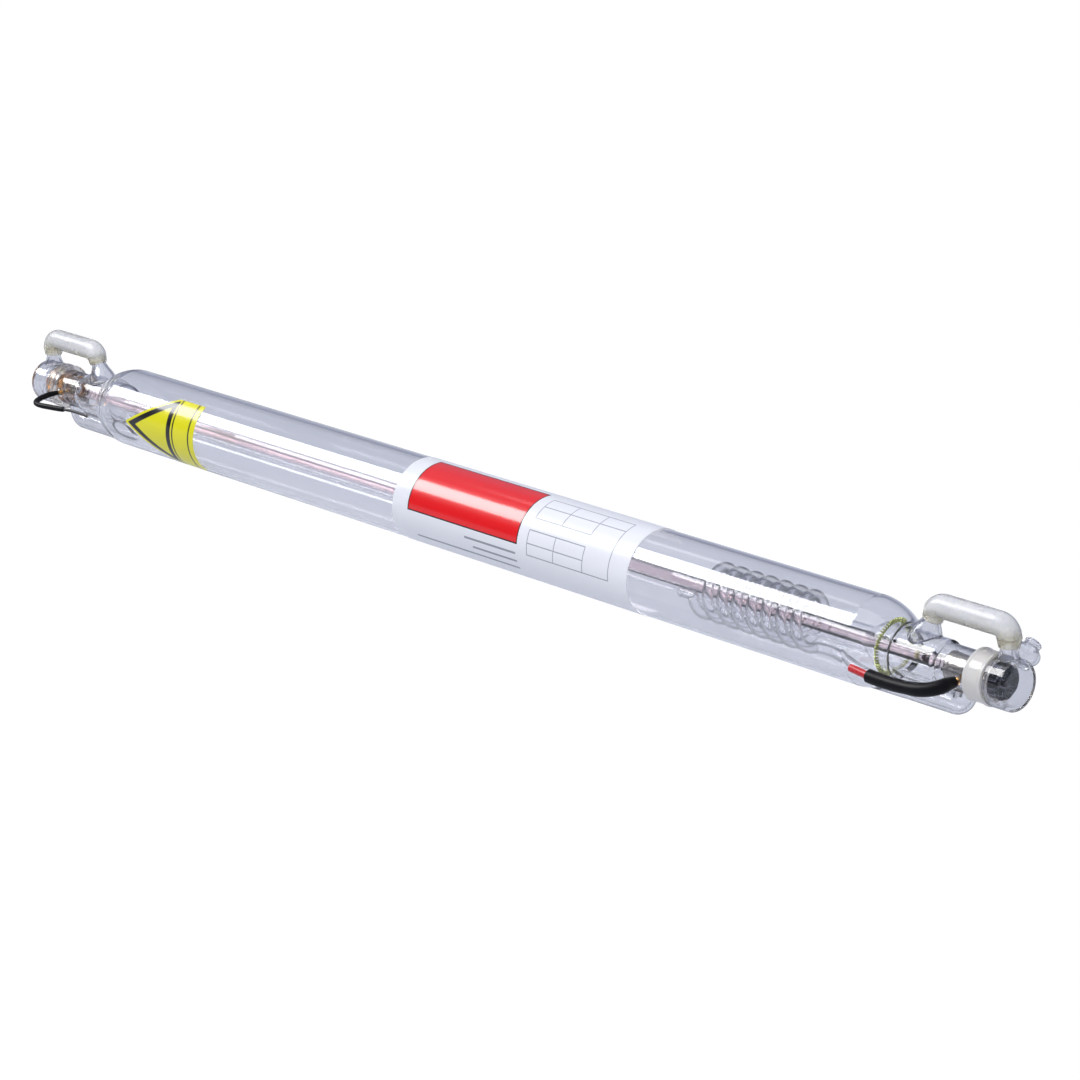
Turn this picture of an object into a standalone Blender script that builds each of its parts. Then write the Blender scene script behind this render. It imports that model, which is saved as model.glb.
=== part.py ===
"""Sealed glass CO2 laser tube, 850 mm long with a 50 mm gas envelope.

The tube lies along X. The output end (partly transmitting coupler, cathode) is at -X and the
rear end (full mirror, anode) is at +X. The two water bridges stand up along +Z, the gas arms
hang below along -Z, and the electrode pins look toward -Y.
"""

import math

import bmesh
import bpy
from mathutils import Matrix, Vector

MM = 0.001
GAP = 0.3 * MM
MERGE = 0.01 * MM

# Overall
TUBE_LENGTH = 850 * MM
FRONT = -1
REAR = 1

# Gas envelope
ENVELOPE_DIAMETER = 50 * MM
ENVELOPE_WALL = 2 * MM
SHOULDER_LENGTH = 22 * MM
SHOULDER_POWER = 1.5
LIP_INSET = 78 * MM

# Water jacket: a thin tube that flares into a wide neck at each end
JACKET_DIAMETER = 15 * MM
JACKET_WALL = 1.2 * MM
NECK_DIAMETER = 26 * MM
NECK_WALL = 1.5 * MM
NECK_INSIDE_ENVELOPE = 10 * MM
NECK_OUTSIDE_ENVELOPE = 30 * MM
FLARE_LENGTH = 13 * MM

# Discharge tube
BORE_TUBE_DIAMETER = 8 * MM
BORE_TUBE_WALL = 1.2 * MM
BORE_TUBE_REACH = 1.8 * MM

# Gas return coil, wound round the jacket
COIL_TUBE_DIAMETER = 6 * MM
COIL_TUBE_WALL = 1 * MM
COIL_MEAN_RADIUS = 14 * MM
COIL_PITCH = 11 * MM
COIL_TURNS = 7.25
COIL_START_X = 206 * MM
COIL_FRONT_TAIL = 10 * MM
COIL_TAIL_SHARES = (0.15, 0.35, 0.7)
COIL_TAIL_STRAIGHT = 17 * MM
COIL_TAIL_SHORT_OF_LIP = 2.5 * MM

# Garter spring on the rear neck
SPRING_WIRE_RADIUS = 1.2 * MM
SPRING_FROM_LIP = 6.5 * MM

# Electrode chambers with the mirror seats
CHAMBER_DIAMETER = 23 * MM
CHAMBER_WALL = 1.5 * MM
CHAMBER_CHAMFER = 1 * MM
SEAT_TUBE_DIAMETER = 16 * MM
SEAT_FLANGE_DIAMETER = 19 * MM
SEAT_FLANGE_THICKNESS = 1.5 * MM

# Mirrors
REAR_MIRROR_THICKNESS = 5 * MM
COUPLER_THICKNESS = 3 * MM

# Water caps
CAP_DIAMETER = 28 * MM
CAP_WALL = 1.6 * MM
CAP_LENGTH = 14.5 * MM
CAP_SKIRT_LENGTH = 6.5 * MM
CAP_CORNER_RADIUS = 4.5 * MM
CAP_CHAMFER = 0.8 * MM
BEAM_TUBE_DIAMETER = 17.4 * MM
BEAM_TUBE_WALL = 1.2 * MM

# Silicone sleeves between the chambers and the caps
SLEEVE_DIAMETER = 28 * MM
SLEEVE_OVERLAP = 5.2 * MM
SLEEVE_BEAD = 0.5 * MM
SLEEVE_BEAD_WIDTH = 1 * MM
FRONT_SLEEVE_SETBACK = 4 * MM

# Gas arms
ARM_DIAMETER = 12 * MM
ARM_WALL = 1.4 * MM
ARM_DROP = 19.5 * MM
ARM_BEND_RADIUS = 7 * MM
ARM_RISER_FROM_END = 35 * MM
ARM_INTO_ENVELOPE = 1 * MM
GAS_PORT_DIAMETER = 8 * MM

# Water nipples and bridge hoses
NIPPLE_DIAMETER = 9 * MM
NIPPLE_WALL = 1.5 * MM
NIPPLE_FLARE_RADIUS = 6 * MM
NIPPLE_FLARE_HEIGHT = 4.5 * MM
CAP_NIPPLE_FROM_END = 8 * MM
CONE_FOOT_FROM_END = 65.5 * MM
CONE_FOOT_DIAMETER = 18.6 * MM
CONE_FOOT_SINK = 6 * MM
CONE_LEAN = math.radians(22)
CONE_PROFILE = [(0.0, 1.0), (0.4, 0.93), (0.62, 0.76), (0.82, 0.58)]
WATER_PORT_DIAMETER = 5.6 * MM
PORT_CUT_INWARD = 3 * MM
PORT_CUT_OUTWARD = 2 * MM
NECK_PORT_CUT_LENGTH = 12 * MM
HOSE_DIAMETER = 13.2 * MM
HOSE_BORE_CLEARANCE = 0.4 * MM
HOSE_HEIGHT = 30.2 * MM
HOSE_BEND_RADIUS = 7 * MM
HOSE_GRIP = 3.8 * MM

# Free water ports for the cooling hoses
FREE_PORT_FLARE_RADIUS = 5.2 * MM
FREE_PORT_REACH = 26.5 * MM
FREE_PORT_BULB_DIAMETER = 15.6 * MM
FREE_PORT_FROM_END = 8.5 * MM
# The blown bulb at a port's root: height above the cap, then share of the bulb's radius
FREE_PORT_BULB = [(1.2 * MM, 0.78), (3 * MM, 0.95), (5 * MM, 1.0), (7 * MM, 0.92), (8.4 * MM, 0.72)]
FREE_PORT_BULB_LENGTH = 9.2 * MM
FREE_PORT_HOLLOW_HEIGHT = 5 * MM
FREE_PORT_HOLLOW_HALF = 3.4 * MM
REAR_PORT_TURN = math.radians(50)
FRONT_PORT_TURN = math.radians(110)

# Electrodes and their pins
ELECTRODE_DIAMETER = 15 * MM
ELECTRODE_WALL = 0.8 * MM
ELECTRODE_LENGTH = 17 * MM
ELECTRODE_FROM_PARTITION = 3.5 * MM
PIN_DIAMETER = 2 * MM
PIN_REACH = 18 * MM
ANODE_PIN_FROM_END = 33 * MM
ANODE_PIN_DROP = 3 * MM
CATHODE_PIN_FROM_END = 29 * MM
CATHODE_PIN_DROP = 1.5 * MM

# Leads: the points of each route run from the pin's tip to the cut end, in mm, and the
# first number of each is the distance from the tube's end
ANODE_WIRE_DIAMETER = 4.3 * MM
ANODE_SHRINK_DIAMETER = 7.8 * MM
ANODE_SHRINK_LENGTH = 51 * MM
ANODE_ROUTE = [
    (33.0, -18.7, -3.0),
    (33.6, -21.5, -3.6),
    (39.0, -25.2, -5.6),
    (47.0, -27.0, -7.0),
    (61.0, -27.2, -8.0),
    (75.0, -27.4, -7.8),
    (90.0, -28.2, -6.0),
]
CATHODE_WIRE_DIAMETER = 2 * MM
CATHODE_SHRINK_DIAMETER = 3.8 * MM
CATHODE_SHRINK_LENGTH = 41 * MM
CATHODE_ROUTE = [
    (29.0, -18.6, -1.5),
    (28.8, -25.0, -2.6),
    (30.0, -30.6, -4.2),
    (35.5, -32.4, -5.0),
    (47.0, -29.6, -5.2),
    (63.0, -25.2, -5.2),
    (75.5, -22.0, -6.8),
]
ROUTE_STEP_DIAMETERS = 2.2
SHRINK_FROM_CHAMBER = 1.2 * MM

# Labels on the envelope, angles measured from -Y toward +Z
LABEL_THICKNESS = 0.25 * MM
WRAP_LABEL_START_X = -36 * MM
WRAP_LABEL_LENGTH = 200 * MM
WRAP_LABEL_SPAN = math.radians(236)
WRAP_LABEL_CENTRE = math.radians(28)
YELLOW_LABEL_FROM_END = 123 * MM
YELLOW_TRIANGLE_LENGTH = 46 * MM
YELLOW_BAND_LENGTH = 25 * MM
YELLOW_LABEL_HALF_SPAN = math.radians(56)
YELLOW_TIP_SHARE = 0.02

# Facets
LARGE_SEGMENTS = 28
MEDIUM_SEGMENTS = 18
SMALL_SEGMENTS = 12
SHOULDER_STEPS = 6
FLARE_STEPS = 4
CORNER_STEPS = 3
SPRING_STEPS = 6
BEND_STEPS = 4
COIL_STEPS_PER_TURN = 12
WHITE_LABEL_GRID = (1, 32)
YELLOW_LABEL_GRID = (14, 9)

# Places along the tube, from one end of the glass inward
END_X = TUBE_LENGTH / 2
CAP_SHOULDER_X = END_X - CAP_LENGTH
SKIRT_END_X = CAP_SHOULDER_X - CAP_SKIRT_LENGTH
CHAMBER_END_X = SKIRT_END_X - GAP
SEAT_X = CAP_SHOULDER_X
LIP_X = END_X - LIP_INSET
SHOULDER_X = LIP_X - SHOULDER_LENGTH
PARTITION_X = LIP_X + NECK_OUTSIDE_ENVELOPE
CHAMBER_START_X = PARTITION_X + GAP
FLARE_END_X = LIP_X - NECK_INSIDE_ENVELOPE
FLARE_START_X = FLARE_END_X - FLARE_LENGTH
ARM_RISER_X = END_X - ARM_RISER_FROM_END

# Radii that fit one another
ENVELOPE_RADIUS = ENVELOPE_DIAMETER / 2
NECK_RADIUS = NECK_DIAMETER / 2
LIP_INNER_RADIUS = NECK_RADIUS + GAP
LIP_OUTER_RADIUS = LIP_INNER_RADIUS + ENVELOPE_WALL
BORE_HOLE_RADIUS = BORE_TUBE_DIAMETER / 2 + GAP
CHAMBER_RADIUS = CHAMBER_DIAMETER / 2
CAP_RADIUS = CAP_DIAMETER / 2
SKIRT_BORE_RADIUS = SEAT_FLANGE_DIAMETER / 2 + GAP
HOSE_BORE_RADIUS = NIPPLE_DIAMETER / 2 + HOSE_BORE_CLEARANCE

ALONG_X = Matrix.Rotation(math.pi / 2, 4, "Y")

# Colours as linear red, green, blue, then roughness, metallic and alpha
GLASS = ((0.78, 0.80, 0.88), 0.03, 0.0, 0.35)
SILICONE = ((0.72, 0.72, 0.69), 0.35, 0.0, 0.8)
NICKEL = ((0.55, 0.54, 0.52), 0.25, 1.0, 1.0)
BRASS = ((0.55, 0.30, 0.10), 0.3, 1.0, 1.0)
SPRING_METAL = ((0.22, 0.23, 0.06), 0.35, 1.0, 1.0)
SELENIDE = ((0.75, 0.33, 0.03), 0.05, 0.0, 0.7)
SILICON = ((0.02, 0.02, 0.03), 0.05, 1.0, 1.0)
RED_RUBBER = ((0.62, 0.03, 0.03), 0.35, 0.0, 1.0)
BLACK_RUBBER = ((0.01, 0.01, 0.01), 0.35, 0.0, 1.0)
WHITE_FILM = ((0.86, 0.87, 0.90), 0.3, 0.0, 1.0)
YELLOW_FILM = ((0.80, 0.78, 0.04), 0.3, 0.0, 1.0)


def clear_scene():
    for obj in list(bpy.data.objects):
        bpy.data.objects.remove(obj, do_unlink=True)


def new_collection(name):
    collection = bpy.data.collections.new(name)
    bpy.context.scene.collection.children.link(collection)
    return collection


def make_material(name, look):
    colour, roughness, metallic, alpha = look
    material = bpy.data.materials.new(name)
    material.use_nodes = True
    shader = material.node_tree.nodes["Principled BSDF"]
    shader.inputs["Base Color"].default_value = (*colour, 1.0)
    shader.inputs["Roughness"].default_value = roughness
    shader.inputs["Metallic"].default_value = metallic
    shader.inputs["Alpha"].default_value = alpha
    material.diffuse_color = (*colour, alpha)
    return material


def add_object(name, data, collection, look=None):
    obj = bpy.data.objects.new(name, data)
    collection.objects.link(obj)
    if look:
        data.materials.append(make_material(name, look))
    else:
        obj.hide_render = True
        obj.display_type = "WIRE"
    return obj


def mesh_from_bmesh(name, bm):
    bmesh.ops.recalc_face_normals(bm, faces=bm.faces)
    mesh = bpy.data.meshes.new(name)
    bm.to_mesh(mesh)
    bm.free()
    return mesh


def signed_area(outline):
    closed = outline + outline[:1]
    return sum(a[0] * b[1] - b[0] * a[1] for a, b in zip(closed, closed[1:])) / 2


def turned(name, outline, collection, look=None, segments=MEDIUM_SEGMENTS, matrix=None, closed=True):
    """Revolve an outline of (axial, radius) points about the local Z axis."""
    points = list(outline)
    if signed_area(points) < 0:
        points.reverse()
    mesh = bpy.data.meshes.new(name)
    vertices = [(radius, 0, axial) for axial, radius in points]
    edges = [(i, i + 1) for i in range(len(points) - 1)]
    if closed:
        edges.append((len(points) - 1, 0))
    mesh.from_pydata(vertices, edges, [])
    obj = add_object(name, mesh, collection, look)
    obj.matrix_world = matrix or ALONG_X
    screw = obj.modifiers.new("Revolve", "SCREW")
    screw.steps = segments
    screw.render_steps = segments
    screw.use_merge_vertices = True
    screw.merge_threshold = MERGE
    screw.use_smooth_shade = True
    return obj


def cut(obj, *cutters):
    for cutter in cutters:
        boolean = obj.modifiers.new("Cut " + cutter.name, "BOOLEAN")
        boolean.operation = "DIFFERENCE"
        boolean.object = cutter


def cylinder(name, radius, start, end, collection, look=None, segments=MEDIUM_SEGMENTS):
    """A plain cylinder from one point to another."""
    start = Vector(start)
    run = Vector(end) - start
    bm = bmesh.new()
    bmesh.ops.create_cone(
        bm, cap_ends=True, segments=segments, radius1=radius, radius2=radius, depth=run.length
    )
    obj = add_object(name, mesh_from_bmesh(name, bm), collection, look)
    turn = run.to_track_quat("Z", "Y").to_matrix().to_4x4()
    obj.matrix_world = Matrix.Translation(start + run / 2) @ turn
    return obj


def swept(name, points, radius, collection, look, wall=None, resolution=2):
    """A round bar along a route, or an open tube when a wall is given."""
    curve = bpy.data.curves.new(name + "_route", "CURVE")
    curve.dimensions = "3D"
    curve.bevel_depth = radius
    curve.bevel_resolution = resolution
    curve.use_fill_caps = wall is None
    spline = curve.splines.new("POLY")
    spline.points.add(len(points) - 1)
    for slot, point in zip(spline.points, points):
        slot.co = (*point, 1.0)
    guide = bpy.data.objects.new(name + "_route", curve)
    bpy.context.scene.collection.objects.link(guide)
    evaluated = guide.evaluated_get(bpy.context.evaluated_depsgraph_get())
    mesh = bpy.data.meshes.new_from_object(evaluated)
    bpy.data.objects.remove(guide, do_unlink=True)
    bm = bmesh.new()
    bm.from_mesh(mesh)
    bmesh.ops.remove_doubles(bm, verts=bm.verts, dist=MERGE)
    bmesh.ops.recalc_face_normals(bm, faces=bm.faces)
    first = bm.faces[:][0]
    nearest = min((Vector(p) for p in points), key=lambda p: (p - first.calc_center_median()).length)
    if wall is not None and first.normal.dot(first.calc_center_median() - nearest) < 0:
        bmesh.ops.reverse_faces(bm, faces=bm.faces)
    bm.to_mesh(mesh)
    bm.free()
    mesh.name = name
    mesh.materials.clear()
    obj = add_object(name, mesh, collection, look)
    if wall is not None:
        shell = obj.modifiers.new("Wall", "SOLIDIFY")
        shell.thickness = wall
        shell.offset = -1
        shell.use_even_offset = True
    return obj


def arc_points(centre, radius, start, end, steps):
    """Points of an arc in the (axial, radial) plane, with both ends."""
    points = []
    for i in range(steps + 1):
        angle = start + (end - start) * i / steps
        points.append((centre[0] + radius * math.cos(angle), centre[1] + radius * math.sin(angle)))
    return points


def mirrored(outline, side):
    return [(side * axial, radius) for axial, radius in outline]


def shoulder_points(length, big, lip):
    """The blown shoulder of the envelope, from the cylinder to the lip."""
    points = []
    for i in range(SHOULDER_STEPS + 1):
        t = math.sin(math.pi / 2 * i / SHOULDER_STEPS)
        drop = (1 - t**SHOULDER_POWER) ** (1 / SHOULDER_POWER)
        points.append((SHOULDER_X + length * t, lip + (big - lip) * drop))
    return points


def envelope_side(grow=0.0):
    """Outer half outline of the envelope, from the middle of the tube to the lip."""
    return [
        (x, radius + grow)
        for x, radius in shoulder_points(SHOULDER_LENGTH + grow, ENVELOPE_RADIUS, LIP_OUTER_RADIUS)
    ]


def build_envelope(parts, cutters):
    outer = envelope_side()
    inner = shoulder_points(
        SHOULDER_LENGTH - ENVELOPE_WALL, ENVELOPE_RADIUS - ENVELOPE_WALL, LIP_INNER_RADIUS
    )
    inner.append((LIP_X, LIP_INNER_RADIUS))
    outline = mirrored(outer, FRONT)[::-1] + outer + inner[::-1] + mirrored(inner, FRONT)
    envelope = turned("gas_envelope", outline, parts, GLASS, LARGE_SEGMENTS)
    coil_port = COIL_TUBE_DIAMETER / 2 + GAP
    for side, end, radius in ((FRONT, "front", GAS_PORT_DIAMETER / 2), (REAR, "rear", coil_port)):
        port = cylinder(
            end + "_envelope_port_cutter",
            radius,
            (side * (SHOULDER_X - PORT_CUT_OUTWARD), 0, -ARM_DROP),
            (side * (LIP_X + PORT_CUT_OUTWARD), 0, -ARM_DROP),
            cutters,
            segments=SMALL_SEGMENTS,
        )
        cut(envelope, port)


def flare_points(small, big):
    """The jacket's flare, from the thin tube to the neck."""
    points = []
    for i in range(FLARE_STEPS + 1):
        t = i / FLARE_STEPS
        rise = t * t * (3 - 2 * t)
        points.append((FLARE_START_X + FLARE_LENGTH * t, small + (big - small) * rise))
    return points


def build_jacket(parts, water_ports):
    outer = flare_points(JACKET_DIAMETER / 2, NECK_RADIUS)
    outer += [(PARTITION_X, NECK_RADIUS), (PARTITION_X, BORE_HOLE_RADIUS)]
    inner = flare_points(JACKET_DIAMETER / 2 - JACKET_WALL, NECK_RADIUS - NECK_WALL)
    partition_inside = PARTITION_X - NECK_WALL
    inner += [(partition_inside, NECK_RADIUS - NECK_WALL), (partition_inside, BORE_HOLE_RADIUS)]
    outline = mirrored(outer, FRONT)[::-1] + outer + inner[::-1] + mirrored(inner, FRONT)
    jacket = turned("water_jacket", outline, parts, GLASS)
    cut(jacket, *water_ports)


def build_discharge_tube(parts):
    reach = PARTITION_X + BORE_TUBE_REACH
    outer = BORE_TUBE_DIAMETER / 2
    inner = outer - BORE_TUBE_WALL
    outline = [(reach, outer), (-reach, outer), (-reach, inner), (reach, inner)]
    turned("discharge_tube", outline, parts, GLASS)


def coil_route():
    """Helix round the jacket. Its rear tail goes out through the envelope into the gas arm."""
    steps = round(COIL_TURNS * COIL_STEPS_PER_TURN)
    turn_end = -math.pi / 2
    points = []
    for i in range(steps + 1):
        turn = COIL_TURNS * i / steps
        angle = turn_end + 2 * math.pi * (turn - COIL_TURNS)
        x = COIL_START_X + COIL_PITCH * turn
        points.append((x, COIL_MEAN_RADIUS * math.cos(angle), COIL_MEAN_RADIUS * math.sin(angle)))
    first = Vector(points[0])
    front_end = first - Vector((COIL_FRONT_TAIL, 0, 0))
    last = Vector(points[-1])
    tail_end = Vector((LIP_X - COIL_TAIL_SHORT_OF_LIP, 0, -ARM_DROP))
    straight = tail_end - Vector((COIL_TAIL_STRAIGHT, 0, 0))
    run = straight - last
    swing = Vector((0, COIL_TUBE_DIAMETER / 2, 0))
    near, middle, far = COIL_TAIL_SHARES
    tail = [last + run * near + swing, last + run * middle + swing, last + run * far]
    return [front_end] + [Vector(p) for p in points] + tail + [straight, tail_end]


def build_coil(parts):
    swept("gas_return_coil", coil_route(), COIL_TUBE_DIAMETER / 2, parts, GLASS, COIL_TUBE_WALL, 1)


def build_spring(parts):
    ring_radius = NECK_RADIUS + GAP + SPRING_WIRE_RADIUS
    ring = arc_points(
        (LIP_X - SPRING_FROM_LIP, ring_radius), SPRING_WIRE_RADIUS, 0, 2 * math.pi, SPRING_STEPS
    )
    turned("support_spring", ring[:-1], parts, SPRING_METAL, LARGE_SEGMENTS)


def build_chamber(end, side, parts, cutters, pin_cutter):
    inner = CHAMBER_RADIUS - CHAMBER_WALL
    seat_outer = SEAT_TUBE_DIAMETER / 2
    seat_inner = seat_outer - CHAMBER_WALL
    flange = SEAT_FLANGE_DIAMETER / 2
    outline = [
        (CHAMBER_START_X, CHAMBER_RADIUS),
        (CHAMBER_END_X - CHAMBER_CHAMFER, CHAMBER_RADIUS),
        (CHAMBER_END_X, CHAMBER_RADIUS - CHAMBER_CHAMFER),
        (CHAMBER_END_X, seat_outer),
        (SEAT_X - SEAT_FLANGE_THICKNESS, seat_outer),
        (SEAT_X - SEAT_FLANGE_THICKNESS, flange),
        (SEAT_X, flange),
        (SEAT_X, seat_inner),
        (CHAMBER_END_X - CHAMBER_WALL, seat_inner),
        (CHAMBER_END_X - CHAMBER_WALL, inner),
        (CHAMBER_START_X, inner),
    ]
    chamber = turned(end + "_chamber", mirrored(outline, side), parts, GLASS)
    port = cylinder(
        end + "_chamber_port_cutter",
        GAS_PORT_DIAMETER / 2,
        (side * ARM_RISER_X, 0, -CHAMBER_RADIUS - PORT_CUT_OUTWARD),
        (side * ARM_RISER_X, 0, -CHAMBER_RADIUS + PORT_CUT_INWARD),
        cutters,
        segments=SMALL_SEGMENTS,
    )
    cut(chamber, port, pin_cutter)


def build_gas_arm(end, side, parts, cutters):
    bend_centre = (ARM_RISER_X - ARM_BEND_RADIUS, -ARM_DROP + ARM_BEND_RADIUS)
    bend = arc_points(bend_centre, ARM_BEND_RADIUS, -math.pi / 2, 0, BEND_STEPS)
    start = (SHOULDER_X - ARM_INTO_ENVELOPE, -ARM_DROP)
    route = [start] + bend + [(ARM_RISER_X, -CHAMBER_RADIUS + PORT_CUT_INWARD)]
    points = [(side * x, 0, z) for x, z in route]
    arm = swept(end + "_gas_arm", points, ARM_DIAMETER / 2, parts, GLASS, ARM_WALL, 3)
    shoulder = envelope_side(GAP)
    outline = [(0, 0), (0, ENVELOPE_RADIUS + GAP)] + shoulder + [(LIP_X + GAP, 0)]
    dome_cutter = turned(
        end + "_arm_dome_cutter", mirrored(outline, side), cutters, None, LARGE_SEGMENTS, closed=False
    )
    chamber_cutter = cylinder(
        end + "_arm_chamber_cutter",
        CHAMBER_RADIUS + GAP,
        (side * CHAMBER_START_X, 0, 0),
        (side * CHAMBER_END_X, 0, 0),
        cutters,
    )
    cut(arm, dome_cutter, chamber_cutter)


def cap_outline(side):
    """Section of a water cap. The front one has a beam tube through its end wall."""
    corner = (END_X - CAP_CORNER_RADIUS, CAP_RADIUS - CAP_CORNER_RADIUS)
    inside = CAP_RADIUS - CAP_WALL
    shoulder_in = CAP_SHOULDER_X + CAP_WALL
    outer = [(SKIRT_END_X, CHAMBER_RADIUS), (CAP_SHOULDER_X, CHAMBER_RADIUS)]
    outer += [(CAP_SHOULDER_X, CAP_RADIUS - CAP_CHAMFER), (CAP_SHOULDER_X + CAP_CHAMFER, CAP_RADIUS)]
    outer += arc_points(corner, CAP_CORNER_RADIUS, math.pi / 2, 0, CORNER_STEPS)
    inner = [(SKIRT_END_X, SKIRT_BORE_RADIUS), (shoulder_in, SKIRT_BORE_RADIUS)]
    inner += [(shoulder_in + CAP_WALL, inside)]
    inner += arc_points(corner, CAP_CORNER_RADIUS - CAP_WALL, math.pi / 2, 0, CORNER_STEPS)
    if side == REAR:
        outer.append((END_X, 0))
        inner.append((END_X - CAP_WALL, 0))
    else:
        beam_outer = BEAM_TUBE_DIAMETER / 2
        beam_inner = beam_outer - BEAM_TUBE_WALL
        beam_end = SEAT_X + GAP + COUPLER_THICKNESS + GAP
        outer.append((END_X, beam_inner))
        inner += [(END_X - CAP_WALL, beam_outer), (beam_end, beam_outer), (beam_end, beam_inner)]
    return mirrored(outer[::-1] + inner, side)


def build_cap(end, side, parts, water_ports):
    cap = turned(end + "_water_cap", cap_outline(side), parts, GLASS, closed=side == FRONT)
    cut(cap, *water_ports)


def build_sleeve(end, side, parts):
    start = CHAMBER_END_X - SLEEVE_OVERLAP
    stop = CAP_SHOULDER_X - GAP - (FRONT_SLEEVE_SETBACK if side == FRONT else 0)
    bore = CHAMBER_RADIUS + GAP
    outer = SLEEVE_DIAMETER / 2
    bead = outer + SLEEVE_BEAD
    outline = [
        (start, bore),
        (start, outer),
        (start + SLEEVE_BEAD_WIDTH / 3, bead),
        (start + SLEEVE_BEAD_WIDTH, bead),
        (start + SLEEVE_BEAD_WIDTH * 1.6, outer),
        (stop - SLEEVE_BEAD_WIDTH * 1.6, outer),
        (stop - SLEEVE_BEAD_WIDTH, bead),
        (stop - SLEEVE_BEAD_WIDTH / 3, bead),
        (stop, outer),
        (stop, bore),
    ]
    turned(end + "_sleeve", mirrored(outline, side), parts, SILICONE)


def nipple_matrix(x, z, lean_x=0.0, turn_x=0.0):
    """Frame of a nipple: its Z axis leans along X, or turns about the tube from +Z toward +Y."""
    place = Matrix.Rotation(-turn_x, 4, "X") @ Matrix.Translation((x, 0, z))
    return place @ Matrix.Rotation(lean_x, 4, "Y")


def cone_frame(side):
    foot_x = END_X - CONE_FOOT_FROM_END
    return nipple_matrix(side * foot_x, NECK_RADIUS - CONE_FOOT_SINK, lean_x=side * CONE_LEAN)


def cone_tip_height():
    """Distance along the leaning nipple from its foot to its tip."""
    bend_rise = HOSE_BEND_RADIUS * (1 - math.sin(CONE_LEAN))
    return (HOSE_HEIGHT - bend_rise - (NECK_RADIUS - CONE_FOOT_SINK)) / math.cos(CONE_LEAN)


def nipple_outline(stations):
    outer = list(stations)
    inner = [(height, max(radius - NIPPLE_WALL, WATER_PORT_DIAMETER / 2)) for height, radius in outer]
    return outer + inner[::-1]


def build_cone_nipple(end, side, parts, cutters):
    foot = CONE_FOOT_DIAMETER / 2
    tube = NIPPLE_DIAMETER / 2
    tip = cone_tip_height()
    grip = tip - HOSE_GRIP
    stations = [(height * grip, radius * foot) for height, radius in CONE_PROFILE]
    stations += [(grip, tube), (tip, tube)]
    nipple = turned(
        end + "_jacket_nipple", nipple_outline(stations), parts, GLASS, SMALL_SEGMENTS, cone_frame(side)
    )
    saddle = cylinder(
        end + "_cone_saddle_cutter",
        NECK_RADIUS + GAP,
        (side * FLARE_END_X, 0, 0),
        (side * ARM_RISER_X, 0, 0),
        cutters,
        segments=LARGE_SEGMENTS,
    )
    dome = bpy.data.objects[end + "_arm_dome_cutter"]
    cut(nipple, saddle, dome)


def cap_nipple_tip():
    return HOSE_HEIGHT - HOSE_BEND_RADIUS


def build_cap_nipple(end, side, parts, cutters):
    tube = NIPPLE_DIAMETER / 2
    base = CAP_RADIUS - PORT_CUT_INWARD
    tip = cap_nipple_tip()
    flare = CAP_RADIUS + NIPPLE_FLARE_HEIGHT
    stations = [(base, NIPPLE_FLARE_RADIUS), (CAP_RADIUS, NIPPLE_FLARE_RADIUS)]
    waist = tube + (NIPPLE_FLARE_RADIUS - tube) / 3
    stations += [(CAP_RADIUS + NIPPLE_FLARE_HEIGHT / 2, waist), (flare, tube), (tip, tube)]
    frame = nipple_matrix(side * (END_X - CAP_NIPPLE_FROM_END), 0)
    nipple = turned(end + "_cap_nipple", nipple_outline(stations), parts, GLASS, SMALL_SEGMENTS, frame)
    cut(nipple, cap_saddle(end, side, cutters))


def cap_saddle(end, side, cutters):
    """The cap's outer form grown by the gap, which seats the nipples on the cap."""
    name = end + "_cap_saddle_cutter"
    if name in bpy.data.objects:
        return bpy.data.objects[name]
    radius = CAP_RADIUS + GAP
    corner = (END_X - CAP_CORNER_RADIUS, CAP_RADIUS - CAP_CORNER_RADIUS)
    outline = [(SKIRT_END_X, 0), (SKIRT_END_X, radius)]
    outline += arc_points(corner, CAP_CORNER_RADIUS + GAP, math.pi / 2, 0, CORNER_STEPS)
    outline += [(END_X + GAP, 0)]
    return turned(name, mirrored(outline, side), cutters, None, LARGE_SEGMENTS, closed=False)


def free_port_turn(side):
    return REAR_PORT_TURN if side == REAR else FRONT_PORT_TURN


def build_free_port(end, side, parts, cutters):
    tube = NIPPLE_DIAMETER / 2
    bulb = FREE_PORT_BULB_DIAMETER / 2
    base = CAP_RADIUS - PORT_CUT_INWARD
    stations = [(base, FREE_PORT_FLARE_RADIUS), (CAP_RADIUS, FREE_PORT_FLARE_RADIUS)]
    stations += [(CAP_RADIUS + height, bulb * share) for height, share in FREE_PORT_BULB]
    stations += [(CAP_RADIUS + FREE_PORT_BULB_LENGTH, tube), (FREE_PORT_REACH, tube)]
    frame = nipple_matrix(side * (END_X - FREE_PORT_FROM_END), 0, turn_x=free_port_turn(side))
    bore = tube - NIPPLE_WALL
    middle = CAP_RADIUS + FREE_PORT_HOLLOW_HEIGHT
    hollow = [(FREE_PORT_REACH, bore), (middle + FREE_PORT_HOLLOW_HALF, bore)]
    hollow += [(middle, bulb - NIPPLE_WALL), (middle - FREE_PORT_HOLLOW_HALF, bore), (base, bore)]
    port = turned(end + "_water_port", stations + hollow, parts, GLASS, SMALL_SEGMENTS, frame)
    cut(port, cap_saddle(end, side, cutters))


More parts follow.
